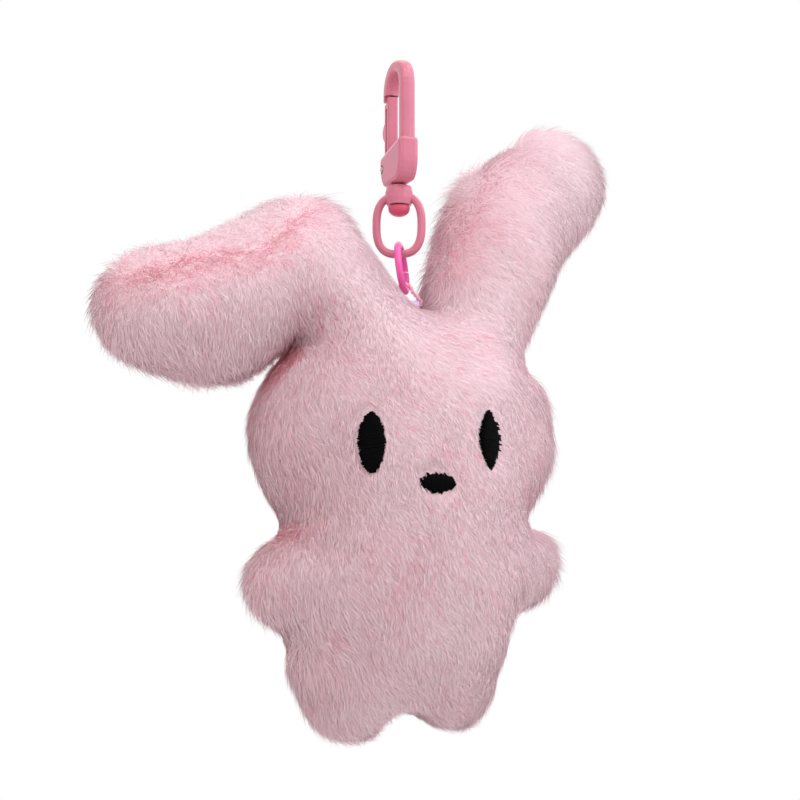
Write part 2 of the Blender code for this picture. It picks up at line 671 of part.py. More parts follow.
def build_link(levels, ring_paint, cord, satin):
    """The jump ring, the cord loop through it and the ribbon tab that the loop passes under."""
    radius = (RING_DIAMETER - RING_WIRE) / 2
    slit = FIT / radius
    angles = np.linspace(slit / 2, 2 * math.pi - slit / 2, WIRE_STEPS)
    tilt = Matrix.Rotation(-RING_LEAN, 3, "Y")
    path = [tilt @ Vector((0, radius * math.cos(a), radius * math.sin(a) - radius)) for a in angles]
    home = (0, 0, levels["ring_high"])
    wire("jump_ring", path, disc(RING_WIRE, WIRE_SIDES), False, ring_paint, home, EYE_TURN)
    half = RING_WIRE / 2 + FIT + CORD_WIRE / 2
    wide = TAB_WIDTH / 2 + FIT + CORD_WIRE / 2
    corner = (wide - CORD_CORNER, CORD_CORNER - CORD_RISE)
    side = arc((0, -half), half, 90, 0, 7) + arc(corner, CORD_CORNER, 0, -90, 6)
    flat = side + [(-x, z) for x, z in reversed(side[1:])]
    tab_top = CORD_WIRE / 2 + FIT + RIBBON
    loop = []
    for x, z in flat:
        fall = min(1.0, max(0.0, (-z - half) / (CORD_RISE - half - tab_top)))
        share = fall * fall * (3 - 2 * fall)
        turn = EYE_TURN * (1 - share)
        loop.append((x * math.cos(turn) + CORD_LEAN * share, x * math.sin(turn), z))
    home = (levels["hang_x"], levels["hang_y"], levels["cord_high"])
    wire("cord_loop", loop, disc(CORD_WIRE, CORD_SIDES), True, cord, home)
    fold = CORD_WIRE / 2 + FIT + RIBBON / 2
    leg = RIBBON / 2 + FIT / 2
    side = [(math.cos(a) * fold, math.sin(a) * fold) for a in np.radians(np.linspace(90, -35, 9))]
    side += [(leg, -TAB_RISE), (leg, -TAB_RISE - TAB_DEPTH)]
    line = [(-y, z) for y, z in reversed(side[1:])] + side
    count = len(line)
    points = [(edge * TAB_WIDTH / 2, y, z) for edge in (-1, 1) for y, z in line]
    faces = [(k, k + 1, k + 1 + count, k + count) for k in range(count - 1)]
    home = (levels["tab_x"], levels["hang_y"], levels["cord_low"])
    tab = place("ribbon_tab", points, faces, satin, home)
    thick = tab.modifiers.new("ribbon", "SOLIDIFY")
    thick.thickness = RIBBON
    thick.offset = 0.0
    return tab


def build_rabbit(levels, fur, filling, thread):
    """The two sewn panels, the filling between them and the stitched face."""
    points, normals, front, back, rim = rabbit_surfaces()
    seat = points[rim]
    ahead = np.roll(seat, -1, axis=0)
    spans = (seat[:, 0] <= TAB_SEAT_X) != (ahead[:, 0] <= TAB_SEAT_X)
    share = (TAB_SEAT_X - seat[spans, 0]) / (ahead[spans, 0] - seat[spans, 0])
    floor = (seat[spans, 2] + share * (ahead[spans, 2] - seat[spans, 2])).max()
    home = np.array((levels["tab_x"] - TAB_SEAT_X, levels["hang_y"], levels["seat_z"] - floor))
    points = points + home
    half_gap = SEAM_GAP / 2
    face = panel("front_panel", points, normals, front, rim, -half_gap, fur)
    rear = panel("back_panel", points, normals, back, rim, half_gap, fur)
    tab = np.array((levels["tab_x"], levels["hang_y"], levels["seat_z"]))
    room = np.array((TAB_WIDTH / 2 + FIT, RIBBON + FIT / 2 + FIT, 0.0))
    down = np.array((0.0, 0.0, FUR_CLOTH + FIT / 2))
    up = np.array((0.0, 0.0, CUT))
    slot = box("tab_slot", tab - room - down, tab + room + up)
    combine(face, slot, "DIFFERENCE")
    combine(rear, slot, "DIFFERENCE")
    place("stuffing", points - (FUR_CLOTH + FIT) * normals, front + back, filling, sharp=60)
    shown = points + np.array((0.0, -half_gap, 0.0))
    skin = BVHTree.FromPolygons([Vector(p) for p in shown], front)
    tilt = Matrix.Rotation(FACE_TILT, 2)
    brow = Vector((home[0] + FACE_SHIFT, home[2] - EYE_DROP_ON_FACE))
    for side, x in (("left", -EYE_SPREAD), ("right", EYE_SPREAD)):
        spot = brow + tilt @ Vector((x, 0.0))
        needlework(f"eye_{side}", spot, EYE_HALF_WIDTH, EYE_HALF_HEIGHT, skin, thread)
    spot = brow + tilt @ Vector((0.0, EYE_DROP_ON_FACE - NOSE_DROP_ON_FACE))
    needlework("nose", spot, NOSE_HALF_WIDTH, NOSE_HALF_HEIGHT, skin, thread)
    return face


def stack_levels():
    """Heights and places down the hanging chain, each from the piece above it."""
    at = {}
    at["base_top"] = -HOOK_DEPTH
    at["base_bottom"] = at["base_top"] - BASE_HEIGHT
    at["gate_y"] = HOOK_OPENING / 2 + HOOK_BAR / 2
    at["pivot_z"] = at["base_top"] - GATE_PIVOT_DROP
    at["collar_top"] = at["base_bottom"] - SWIVEL_GAP
    at["collar_bottom"] = at["collar_top"] - COLLAR_HEIGHT
    at["collar_middle"] = (at["collar_top"] + at["collar_bottom"]) / 2
    at["eye_low"] = at["collar_bottom"] - EYE_DROP + EYE_WIRE / 2
    at["ring_high"] = at["eye_low"] + EYE_WIRE / 2 + FIT + RING_WIRE / 2
    ring_span = RING_DIAMETER - RING_WIRE
    swing = ring_span * math.sin(RING_LEAN)
    at["hang_x"] = swing * math.cos(EYE_TURN)
    at["hang_y"] = swing * math.sin(EYE_TURN)
    at["hang_z"] = at["ring_high"] - ring_span * math.cos(RING_LEAN)
    at["cord_high"] = at["hang_z"] + RING_WIRE / 2 + FIT + CORD_WIRE / 2
    at["cord_low"] = at["cord_high"] - CORD_RISE
    at["tab_x"] = at["hang_x"] + CORD_LEAN
    at["seat_z"] = at["cord_low"] - TAB_RISE
    return at


def build():
    """Clear the scene and make every piece."""
    for old in list(bpy.data.objects):
        bpy.data.objects.remove(old, do_unlink=True)
    paint = colour("pink_paint", (0.80, 0.32, 0.45), 0.30, 0.35)
    rivet_paint = colour("rose_paint", (0.72, 0.22, 0.34), 0.30, 0.35)
    ring_paint = colour("hot_pink_paint", (0.90, 0.20, 0.42), 0.28, 0.35)
    steel = colour("spring_steel", (0.60, 0.60, 0.62), 0.35, 1.0)
    cord = colour("rose_cord", (0.72, 0.40, 0.48), 0.70)
    satin = colour("lavender_satin", (0.78, 0.70, 0.80), 0.40)
    fur = colour("pink_fur", (0.80, 0.55, 0.62), 0.90)
    filling = colour("white_filling", (0.90, 0.88, 0.86), 0.95)
    thread = colour("black_thread", (0.012, 0.010, 0.012), 0.45)
    levels = stack_levels()
    build_hook(levels, paint)
    build_gate(levels, paint, steel)
    build_swivel(levels, paint, rivet_paint)
    build_link(levels, ring_paint, cord, satin)
    build_rabbit(levels, fur, filling, thread)


build()
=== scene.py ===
"""Looks for a plush rabbit keychain, laid out as a Blender add-on and run as a script.

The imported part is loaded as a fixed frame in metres. The rabbit's skin is stuffed over the
part's filling, a brushed pile grows on it, the face is embroidered, and the hook, ring,
cord and ribbon get their finishes. Left and right are as seen from the front, which is -Y.
"""

import json
import math

import bmesh
import bpy
import numpy as np
from mathutils import Matrix, Vector
from mathutils.bvhtree import BVHTree
from mathutils.kdtree import KDTree


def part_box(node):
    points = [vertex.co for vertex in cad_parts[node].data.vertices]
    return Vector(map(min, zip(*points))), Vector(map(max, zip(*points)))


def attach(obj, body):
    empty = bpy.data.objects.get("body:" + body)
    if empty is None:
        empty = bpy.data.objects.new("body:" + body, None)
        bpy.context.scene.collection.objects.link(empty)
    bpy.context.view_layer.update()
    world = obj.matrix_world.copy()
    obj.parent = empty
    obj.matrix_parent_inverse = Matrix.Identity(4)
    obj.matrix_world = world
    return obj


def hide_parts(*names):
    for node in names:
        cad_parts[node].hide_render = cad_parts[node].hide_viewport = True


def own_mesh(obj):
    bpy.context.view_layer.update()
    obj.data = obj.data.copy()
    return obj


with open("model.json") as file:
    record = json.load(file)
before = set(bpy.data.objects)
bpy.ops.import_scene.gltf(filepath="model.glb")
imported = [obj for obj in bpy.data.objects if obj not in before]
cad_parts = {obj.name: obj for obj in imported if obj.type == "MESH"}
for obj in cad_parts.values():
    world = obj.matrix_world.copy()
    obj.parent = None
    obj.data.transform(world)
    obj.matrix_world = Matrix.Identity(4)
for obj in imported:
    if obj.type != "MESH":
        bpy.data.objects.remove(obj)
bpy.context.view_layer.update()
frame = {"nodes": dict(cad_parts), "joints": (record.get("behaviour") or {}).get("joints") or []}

bl_info = {
    "name": "Plush Rabbit Keychain",
    "version": (1, 0, 0),
    "blender": (4, 5, 0),
    "location": "3D View > Sidebar > Keychain",
    "description": "Dresses a plush rabbit keychain in fur, thread and painted metal",
    "category": "Object",
}

PHOTO_SIZE = 800

# Where the pile parts on the front of the ears: (x, z) in metres from tip to root, the way to
# the narrow side, which is brushed back over the edge, and how wide the parting is and how far
# its pile stands upright and is painted with a rosy shade
PARTINGS = (
    (
        ((-0.0580, -0.0478), (-0.0467, -0.0440), (-0.0325, -0.0408), (-0.0232, -0.0326)),
        (-0.3, 0.95),
        0.0042,
        1.0,
    ),
    (
        ((0.0300, -0.0112), (0.0211, -0.0189), (0.0137, -0.0280), (0.0100, -0.0400)),
        (-0.8, 0.6),
        0.0034,
        0.5,
    ),
)

# The way the pile is combed where nothing turns it: down, and a little to the right
COMBED = (0.42, 0.0, -1.0)

# Where the pile of the forehead swirls sideways: (x, z) and reach in metres, and its way there
SWIRL = ((0.0065, -0.0610), 0.0090, (1.1, 0.0, -0.25))

# Angle at which a strand that stands fully upright leaves the skin
UPRIGHT_RISE = math.radians(70)

# Height that a strand's tip keeps over the skin, in metres
TIP_CLEARANCE = 0.0007

# A region of the pile with more strands than this is made as two pieces
MOST_IN_A_PIECE = 18000

# Where the pile stands fuller: (x, z) and reach in metres, and the share it is longer by
FLUFFS = (
    ((0.0105, -0.0360), 0.0090, 0.60),  # upright ear, inner side of its root
    ((0.0165, -0.0260), 0.0080, 0.50),  # upright ear, inner side
    ((0.0195, -0.0195), 0.0060, 0.40),  # upright ear, inner side near the tip
    ((0.0300, -0.0125), 0.0080, 0.40),  # upright ear, tip
    ((0.0265, -0.0575), 0.0060, 0.50),  # upright ear, outer side of its root
    ((-0.0205, -0.0265), 0.0070, 0.50),  # folded ear, top of the fold
    ((-0.0520, -0.0400), 0.0120, 0.40),  # folded ear, upper edge
    ((-0.0495, -0.0630), 0.0070, 0.40),  # folded ear, lower edge
    ((0.0300, -0.0740), 0.0100, 0.35),  # right cheek
    ((0.0265, -0.0915), 0.0050, 0.40),  # over the right arm
    ((-0.0225, -0.1130), 0.0090, 0.35),  # left hip
)

# Where the skin is drawn in over one arm, where the pile stands up and is painted with a dark rosy
# shade: (x, z) and reach in metres
NOTCH = ((-0.0236, -0.0938), 0.0026)

# How a strand's tone, from 0 rosy to 1 pale, is made up: the usual tone, how far it changes from
# tuft to tuft, from strand to strand and in slow waves, how much paler it is where it is turned
# over an edge, how much painted rosy shade it gets where it is brushed upright, in a crease or
# where the skin is drawn in, how much paler the painted light makes it at the top, and how far
# down that reaches, in metres
TONE = {
    "usual": 0.60,
    "tuft": 0.13,
    "strand": 0.08,
    "sway": 0.07,
    "turned": 0.35,
    "upright": 0.45,
    "crease_shade": 0.8,
    "drawn_in": 0.35,
    "top": 0.20,
    "top_light_reach": 0.028,
}

# What a tone multiplies the colour of the pile by: the dark rosy low end is painted shade, and the
# pale high end takes in the painted light at the top
TONE_COLOURS = {
    0.0: (0.66, 0.30, 0.34),
    0.14: (0.90, 0.56, 0.62),
    0.5: (0.95, 0.93, 0.94),
    1.0: (0.95, 1.0, 1.0),
}

# For each embroidered patch: heading of its stitches in degrees, how its outline rounds
# across and up, and how unevenly its stitches end, in metres
PATCHES = {
    "eye_left": (8.0, 1.60, 2.1, 0.00014),
    "eye_right": (-8.0, 1.25, 1.8, 0.00014),
    "nose": (82.0, 2.0, 2.0, 0.00020),
}

# Points closer than this, in metres, are one point
WELD = 1e-6

# Width of the rounding on the edges of cast pieces, in metres
EDGE_ROUNDING = 0.00022

# Kinds of node group sockets
COLOUR = "NodeSocketColor"
NUMBER = "NodeSocketFloat"


def length_property(name, description, default, digits=3):
    """A setting for a length in metres."""
    return bpy.props.FloatProperty(
        name=name, description=description, default=default, precision=digits, unit="LENGTH"
    )


def angle_property(name, description, degrees):
    """A setting for an angle."""
    return bpy.props.FloatProperty(
        name=name, description=description, default=math.radians(degrees), subtype="ANGLE"
    )


def share_property(name, description, default):
    """A setting for a share of 0 to 1."""
    return bpy.props.FloatProperty(
        name=name, description=description, default=default, subtype="FACTOR", min=0.0, max=1.0
    )


def power_property(name, description, default):
    """A setting for the power of a lamp in watts."""
    return bpy.props.FloatProperty(name=name, description=description, default=default, unit="POWER")


def number_property(name, description, default):
    """A setting for a plain number."""
    return bpy.props.FloatProperty(name=name, description=description, default=default)


def count_property(name, description, default):
    """A setting for a whole number."""
    return bpy.props.IntProperty(name=name, description=description, default=default)


def colour_property(name, description, default):
    """A setting for a colour."""
    return bpy.props.FloatVectorProperty(
        name=name, description=description, default=default, size=3, subtype="COLOR"
    )


class StageSettings(bpy.types.PropertyGroup):
    """Where the camera stands and how the studio is lit."""

    azimuth: angle_property("Azimuth", "Turn of the camera round the rabbit; 0 faces it", -20)
    elevation: angle_property("Elevation", "Height of the camera above the horizon", -8)
    distance: length_property("Distance", "From the camera to the point it looks at", 0.45)
    aim_height: length_property(
        "Aim Height", "Height of the point the camera looks at, on the axis of the hook", -0.070
    )
    frame_width: length_property("Frame Width", "Width that the picture shows at that point", 0.160)
    aim_pixel: bpy.props.FloatVectorProperty(
        name="Aim Pixel",
        description="Where that point is in the picture, right and down",
        size=2,
        default=(399.0, 413.0),
    )
    floor_drop: length_property("Floor Drop", "From the rabbit's feet down to the floor", 0.20)
    ambient: number_property("Ambient", "Strength of the light from all round", 0.81)
    key_power: power_property("Key Power", "Power of the soft box to the right of the camera", 10.4)
    fill_power: power_property("Fill Power", "Power of the soft box over the camera", 2.0)
    back_power: power_property("Back Power", "Power of the soft box behind and above the rabbit", 1.0)


class PlushSettings(bpy.types.PropertyGroup):
    """The stuffed skin and the pile that grows on it."""

    cloth: length_property("Cloth", "From the filling out to the face of the skin", 0.0021, 4)
    slack: length_property(
        "Slack", "How much smaller the skin is cut before the stuffing blows it up", 0.0003, 4
    )
    swell: length_property("Swell", "The furthest that the stuffing may push the skin", 0.0009, 4)
    pressure: number_property("Pressure", "Push of the stuffing on the skin while it is blown up", 40.0)
    strands: count_property("Strands", "How many strands the whole pile has", 220000)
    length: length_property("Pile Length", "Length of a strand", 0.0052, 4)
    width: length_property("Strand Width", "Width of a strand near its middle", 0.00013, 5)
    rise: angle_property("Rise", "Angle at which a strand leaves the skin", 54)
    droop: angle_property("Droop", "Angle by which the tip of a strand bends back to the skin", 8)
    tuft: length_property("Tuft Spacing", "Distance between tufts of gathered strands", 0.0009, 4)
    gather: share_property("Gather", "How far the tips gather in their tufts", 0.24)
    loose: share_property("Loose", "Share of strands that stand up out of the brushed pile", 0.14)
    softness: share_property("Softness", "How far a strand's top is shaded as the skin under it", 0.92)
    # Painted light: the roots are coloured lighter than the tips, to offset the shade deep in the pile
    root_colour: colour_property("Root Colour", "Colour of the pile at the skin", (0.96, 0.77, 0.80))
    middle_colour: colour_property("Middle Colour", "Colour along the strands", (0.935, 0.72, 0.765))
    tip_colour: colour_property("Tip Colour", "Colour of the strands' tips", (0.90, 0.69, 0.73))
    seed: count_property("Seed", "Start of the random draws, so that every run grows the same pile", 11)


class FaceSettings(bpy.types.PropertyGroup):
    """The embroidered eyes and nose."""

    thread: length_property("Thread", "Thickness of the embroidery thread", 0.00034, 5)
    pitch: length_property("Pitch", "Distance between stitches", 0.00029, 5)
    colour: colour_property("Thread Colour", "Colour of the thread", (0.0012, 0.0012, 0.0012))
    seed: count_property("Seed", "Start of the random draws for uneven stitches", 5)


class MetalSettings(bpy.types.PropertyGroup):
    """The painted metal and the gate's spring."""

    hook_colour: colour_property(
        "Hook Colour", "Paint of the hook, its gate and the swivel eye", (0.69, 0.225, 0.315)
    )
    rivet_colour: colour_property("Rivet Colour", "Paint of the swivel's rivet", (0.70, 0.105, 0.19))
    ring_colour: colour_property("Ring Colour", "Paint of the jump ring", (0.90, 0.14, 0.45))
    spring_wire: length_property("Spring Wire", "Thickness of the spring's wire", 0.00032, 5)
    spring_turns: count_property("Spring Turns", "How many turns the gate's spring has", 5)
    spring_shut: share_property(
        "Spring Shut", "Share of its length that the spring keeps when the gate is wide open", 0.68
    )


class LinkSettings(bpy.types.PropertyGroup):
    """The cord loop and the ribbon tab that it passes under."""

    cord: length_property("Cord", "Thickness of the cord over both its plies", 0.0009, 4)
    corner: length_property(
        "Corner", "Bend of the cord at each end of its run under the tab", 0.0009, 4
    )
    clearance: length_property("Clearance", "From the edge of the tab to the cord beside it", 0.0003, 4)
    turns: count_property("Turns", "How often the plies turn round each other along the loop", 9)
    ribbon: length_property("Ribbon", "Thickness of the ribbon at its edges", 0.0004, 4)
    rib: length_property("Rib", "Distance between the woven ribs of the ribbon", 0.00034, 5)
    cord_colour: colour_property("Cord Colour", "Colour of the cord loop", (0.88, 0.50, 0.60))
    ribbon_colour: colour_property("Ribbon Colour", "Colour of the satin tab", (0.72, 0.55, 0.80))


def unit(vectors):
    """Rows of unit length."""
    return vectors / np.maximum(np.linalg.norm(vectors, axis=-1, keepdims=True), 1e-12)


def surface_of(mesh):
    """Points, smooth normals and triangles of a mesh, as arrays."""
    mesh.calc_loop_triangles()
    points = np.empty(len(mesh.vertices) * 3)
    mesh.vertices.foreach_get("co", points)
    normals = np.empty(len(mesh.vertices) * 3)
    mesh.vertices.foreach_get("normal", normals)
    triangles = np.empty(len(mesh.loop_triangles) * 3, dtype=np.int64)
    mesh.loop_triangles.foreach_get("vertices", triangles)
    return points.reshape(-1, 3), normals.reshape(-1, 3), triangles.reshape(-1, 3)


def show(name, mesh, material):
    """A shown object with its material."""
    thing = bpy.data.objects.new(name, mesh)
    bpy.context.scene.collection.objects.link(thing)
    mesh.materials.append(material)
    return thing


def mesh_from(work, name):
    """A new mesh from a finished bmesh."""
    mesh = bpy.data.meshes.new(name)
    work.to_mesh(mesh)
    work.free()
    return mesh


def smooth_mesh(name, points, faces):
    """A new mesh from points and faces, shaded smooth."""
    mesh = bpy.data.meshes.new(name)
    mesh.from_pydata(points, [], faces)
    mesh.shade_smooth()
    return mesh


def repaint(node, material):
    """Give a node of the part a finish of this scene."""
    slots = frame["nodes"][node].data.materials
    slots.clear()
    slots.append(material)


def feed(tree, socket, value):
    """Link a socket to another one, or give it a value."""
    if isinstance(value, bpy.types.NodeSocket):
        tree.links.new(value, socket)
    else:
        socket.default_value = value


def add_node(tree, kind, result, inputs, **settings):
    """A new shader node with its settings and inputs; one of its outputs is handed back."""
    node = tree.nodes.new(kind)
    for label, value in settings.items():
        setattr(node, label, value)
    for label, value in inputs.items():
        feed(tree, node.inputs[label], value)
    return node.outputs[result]


def new_group(name, inputs):
    """A shader node group for a finish, with the sockets that it starts from and ends in."""
    group = bpy.data.node_groups.new(name, "ShaderNodeTree")
    for label, kind, value in inputs:
        group.interface.new_socket(label, in_out="INPUT", socket_type=kind).default_value = value
    for label, kind in (("Colour", COLOUR), ("Roughness", NUMBER), ("Height", NUMBER)):
        group.interface.new_socket(label, in_out="OUTPUT", socket_type=kind)
    given = group.nodes.new("NodeGroupInput").outputs
    return group, given, group.nodes.new("NodeGroupOutput").inputs


def noise(tree, vector, scale, detail):
    """The value of a noise texture."""
    inputs = {"Vector": vector, "Scale": scale, "Detail": detail}
    return add_node(tree, "ShaderNodeTexNoise", "Fac", inputs)


def blend_colour(tree, share, first, second, way="MIX"):
    """A colour between two, by a share that may change over the surface."""
    inputs = {"Factor": share, "A": first, "B": second}
    return add_node(tree, "ShaderNodeMix", "Result", inputs, data_type="RGBA", blend_type=way)


def stretch(tree, value, low, high):
    """A value of 0 to 1 spread over another range."""
    inputs = {"Value": value, "To Min": low, "To Max": high}
    return add_node(tree, "ShaderNodeMapRange", "Result", inputs)


def ramp(tree, value, stops):
    """A colour that runs through stops, from a value of 0 to 1."""
    node = tree.nodes.new("ShaderNodeValToRGB")
    elements = node.color_ramp.elements
    elements[0].color = (*stops[0.0], 1.0)
    elements[1].color = (*stops[1.0], 1.0)
    for position, colour in stops.items():
        if 0.0 < position < 1.0:
            elements.new(position).color = (*colour, 1.0)
    tree.links.new(value, node.inputs["Fac"])
    return node.outputs["Color"]


def new_material(name, look):
    """A material with these values in its Principled shader, with its tree and that shader."""
    material = bpy.data.materials.new(name)
    material.use_nodes = True
    shader = material.node_tree.nodes["Principled BSDF"]
    for label, value in look.items():
        shader.inputs[label].default_value = value
    return material, material.node_tree, shader


def lacquer_group():
    """Sprayed paint: slow changes of tone and gloss, and the fine ripple of a sprayed coat."""
    name = "Lacquer"
    if name in bpy.data.node_groups:
        return bpy.data.node_groups[name]
    group, given, out = new_group(
        name,
        (
            ("Colour", COLOUR, (0.8, 0.3, 0.4, 1.0)),
            ("Shade", COLOUR, (0.6, 0.2, 0.3, 1.0)),
            ("Gloss", NUMBER, 0.25),
        ),
    )
    haze = 0.14
    place = group.nodes.new("ShaderNodeTexCoord").outputs["Object"]
    cloud = noise(group, place, scale=260.0, detail=3.0)
    clear = stretch(group, cloud, low=0.75, high=0.0)
    inputs = {0: cloud, 1: haze, 2: given["Gloss"]}
    gloss = add_node(group, "ShaderNodeMath", "Value", inputs, operation="MULTIPLY_ADD")
    feed(group, out["Colour"], blend_colour(group, clear, given["Colour"], given["Shade"]))
    feed(group, out["Roughness"], gloss)
    feed(group, out["Height"], noise(group, place, scale=1500.0, detail=2.0))
    return group


def yarn_group():
    """Twisted fibre: streaks of tone and a fibrous height, for thread, cord and ribbon."""
    name = "Yarn"
    if name in bpy.data.node_groups:
        return bpy.data.node_groups[name]
    group, given, out = new_group(
        name,
        (
            ("Colour", COLOUR, (0.5, 0.5, 0.5, 1.0)),
            ("Light", COLOUR, (0.7, 0.7, 0.7, 1.0)),
            ("Stretch", "NodeSocketVector", (1.0, 1.0, 1.0)),
            ("Scale", NUMBER, 2000.0),
        ),
    )
    place = group.nodes.new("ShaderNodeTexCoord").outputs["Object"]
    inputs = {0: place, 1: given["Stretch"]}
    longer = add_node(group, "ShaderNodeVectorMath", "Vector", inputs, operation="MULTIPLY")
    fibre = noise(group, longer, given["Scale"], detail=3.0)
    pale = stretch(group, fibre, low=0.0, high=0.8)
    feed(group, out["Colour"], blend_colour(group, pale, given["Colour"], given["Light"]))
    feed(group, out["Roughness"], stretch(group, fibre, low=0.34, high=0.62))
    feed(group, out["Height"], fibre)
    return group


def finish(name, group, values, look, strength, depth=0.0001):
    """A material whose colour, roughness and bump come from a node group with these values."""
    material, tree, shader = new_material(name, look)
    node = tree.nodes.new("ShaderNodeGroup")
    node.node_tree = group
    for label, value in values.items():
        node.inputs[label].default_value = value
    made = node.outputs
    inputs = {"Strength": strength, "Distance": depth, "Height": made["Height"]}
    feed(tree, shader.inputs["Base Color"], made["Colour"])
    feed(tree, shader.inputs["Roughness"], made["Roughness"])
    feed(tree, shader.inputs["Normal"], add_node(tree, "ShaderNodeBump", "Normal", inputs))
    return material


def lacquer(name, colour):
    """Painted metal under a clear coat."""
    shade = tuple(0.80 * c for c in colour)
    values = {"Colour": (*colour, 1.0), "Shade": (*shade, 1.0), "Gloss": 0.14}
    look = {"Specular IOR Level": 0.12, "Coat Weight": 0.22, "Coat Roughness": 0.05}
    return finish(name, lacquer_group(), values, look, strength=0.04)


def yarn(name, colour, light, stretched, scale, strength, sheen, specular=0.3):
    """Thread, cord or ribbon."""
    values = {"Colour": (*colour, 1.0), "Light": (*light, 1.0), "Stretch": stretched, "Scale": scale}
    look = {"Sheen Weight": sheen, "Specular IOR Level": specular}
    return finish(name, yarn_group(), values, look, strength)


def spring_steel():
    """Bare drawn steel for the gate's pin and spring."""
    values = {"Colour": (0.56, 0.55, 0.56, 1.0), "Shade": (0.36, 0.35, 0.37, 1.0), "Gloss": 0.24}
    return finish("drawn_steel", lacquer_group(), values, {"Metallic": 1.0}, strength=0.08)


def backing_cloth(plush):
    """The knitted cloth that the pile grows on, seen only between strands."""
    values = {
        # Painted light: the backing takes the lighter root colour, to offset the shade between strands
        "Colour": (*plush.root_colour, 1.0),
        "Light": (*plush.tip_colour, 1.0),
        "Stretch": (1.0, 1.0, 0.4),
        "Scale": 1800.0,
    }
    look = {"Specular IOR Level": 0.04}
    return finish("pile_backing", yarn_group(), values, look, strength=0.5, depth=0.0003)


def pile_fibre(plush):
    """Pile: u is a strand's tone, from rosy to pale, and v runs from its root to its tip."""
    material, tree, shader = new_material("pink_pile", {"Roughness": 0.62, "Specular IOR Level": 0.04})
    place = tree.nodes.new("ShaderNodeUVMap")
    place.uv_map = "strand"
    parts = tree.nodes.new("ShaderNodeSeparateXYZ")
    tree.links.new(place.outputs["UV"], parts.inputs["Vector"])
    # Painted light: lighter at the root than at the tip, to offset the shade deep in the pile
    strand = {0.0: plush.root_colour, 0.45: plush.middle_colour, 1.0: plush.tip_colour}
    along = ramp(tree, parts.outputs["Y"], strand)
    tone = ramp(tree, parts.outputs["X"], TONE_COLOURS)
    feed(tree, shader.inputs["Base Color"], blend_colour(tree, 1.0, along, tone, "MULTIPLY"))
    return material


def seam_share(normal):
    """How near the side seam the skin is, by its normal: 1 on the seam, 0 on the faces."""
    facing, fade = 0.55, 0.25
    return min(1.0, max(0.0, (facing - abs(normal.y)) / fade))


def blow_up(mesh, plush):
    """Push the skin out by the stuffing, as cloth, enlarged to a size where the solver is steady."""
    enlarged, steps = 8.0, 20
    start = surface_of(mesh)[0]
    blown = mesh.copy()
    blown.vertices.foreach_set("co", (enlarged * start).ravel())
    thing = bpy.data.objects.new("skin_blown_up", blown)
    scene = bpy.context.scene
    scene.collection.objects.link(thing)
    seam = thing.vertex_groups.new(name="seam")
    for vert in mesh.vertices:
        seam.add([vert.index], seam_share(vert.normal), "REPLACE")
    cloth = thing.modifiers.new("stuffing", "CLOTH")
    cloth.settings.quality = 5
    cloth.settings.vertex_group_mass = seam.name
    cloth.settings.use_pressure = True
    cloth.settings.uniform_pressure_force = plush.pressure
    cloth.settings.effector_weights.gravity = 0.0
    cloth.collision_settings.use_collision = False
    cloth.point_cache.frame_start = 1
    cloth.point_cache.frame_end = steps
    for step in range(1, steps + 1):
        scene.frame_set(step)
    view = bpy.context.evaluated_depsgraph_get()
    shape = bpy.data.meshes.new_from_object(thing.evaluated_get(view))
    moves = surface_of(shape)[0] / enlarged - start
    far = np.maximum(np.linalg.norm(moves, axis=1, keepdims=True), 1e-9)
    mesh.vertices.foreach_set("co", (start + moves * np.minimum(1, plush.swell / far)).ravel())
    bpy.data.objects.remove(thing)
    scene.frame_set(1)


def stuffed_skin(plush):
    """The skin's mesh: the filling's surface taken out by the cloth, blown up and smoothed."""
    work = bmesh.new()
    work.from_mesh(frame["nodes"]["stuffing"].data)
    bmesh.ops.remove_doubles(work, verts=work.verts, dist=WELD)
    work.normal_update()
    slack = plush.slack
    outs = [plush.cloth - slack * (1 - seam_share(v.normal)) for v in work.verts]
    for vert, shift in [(v, v.normal * out) for v, out in zip(work.verts, outs)]:
        vert.co += shift
    axes = {"use_axis_x": True, "use_axis_y": True, "use_axis_z": True}
    bmesh.ops.smooth_vert(work, verts=work.verts, factor=0.3, **axes)
    mesh = mesh_from(work, "plush_skin")
    blow_up(mesh, plush)
    rough = bpy.data.objects.new("plush_skin_rough", mesh)
    bpy.context.scene.collection.objects.link(rough)
    rounder = rough.modifiers.new("rounder", "SUBSURF")
    rounder.levels = rounder.render_levels = 2
    view = bpy.context.evaluated_depsgraph_get()
    smooth = bpy.data.meshes.new_from_object(rough.evaluated_get(view))
    bpy.data.objects.remove(rough)
    smooth.name = "plush_skin"
    smooth.shade_smooth()
    return smooth


def from_line(points, line):
    """Distance of (x, z) points from a line, and the way straight away from it."""
    line = np.array(line)
    best = np.full(len(points), np.inf)
    away = np.zeros_like(points)
    for start, end in zip(line, line[1:]):
        run = end - start
        share = np.clip((points - start) @ run / (run @ run), 0, 1)
        offset = points - start - share[:, None] * run
        gap = np.linalg.norm(offset, axis=1)
        nearer = gap < best
        best[nearer] = gap[nearer]
        away[nearer] = offset[nearer]
    return best, unit(away)


def ripple(points, wavelength, phase):
    """A smooth wandering value of about -1 to 1 over space."""
    ways = np.array(((0.8, 0.2, 0.56), (-0.5, 0.6, 0.62), (0.3, -0.7, 0.65), (0.9, 0.4, -0.2)))
    usual_peak = 2.4
    turns = 2 * math.pi / wavelength * points @ ways.T
    return np.sin(turns + phase * np.arange(1, 5)).sum(axis=1) / usual_peak


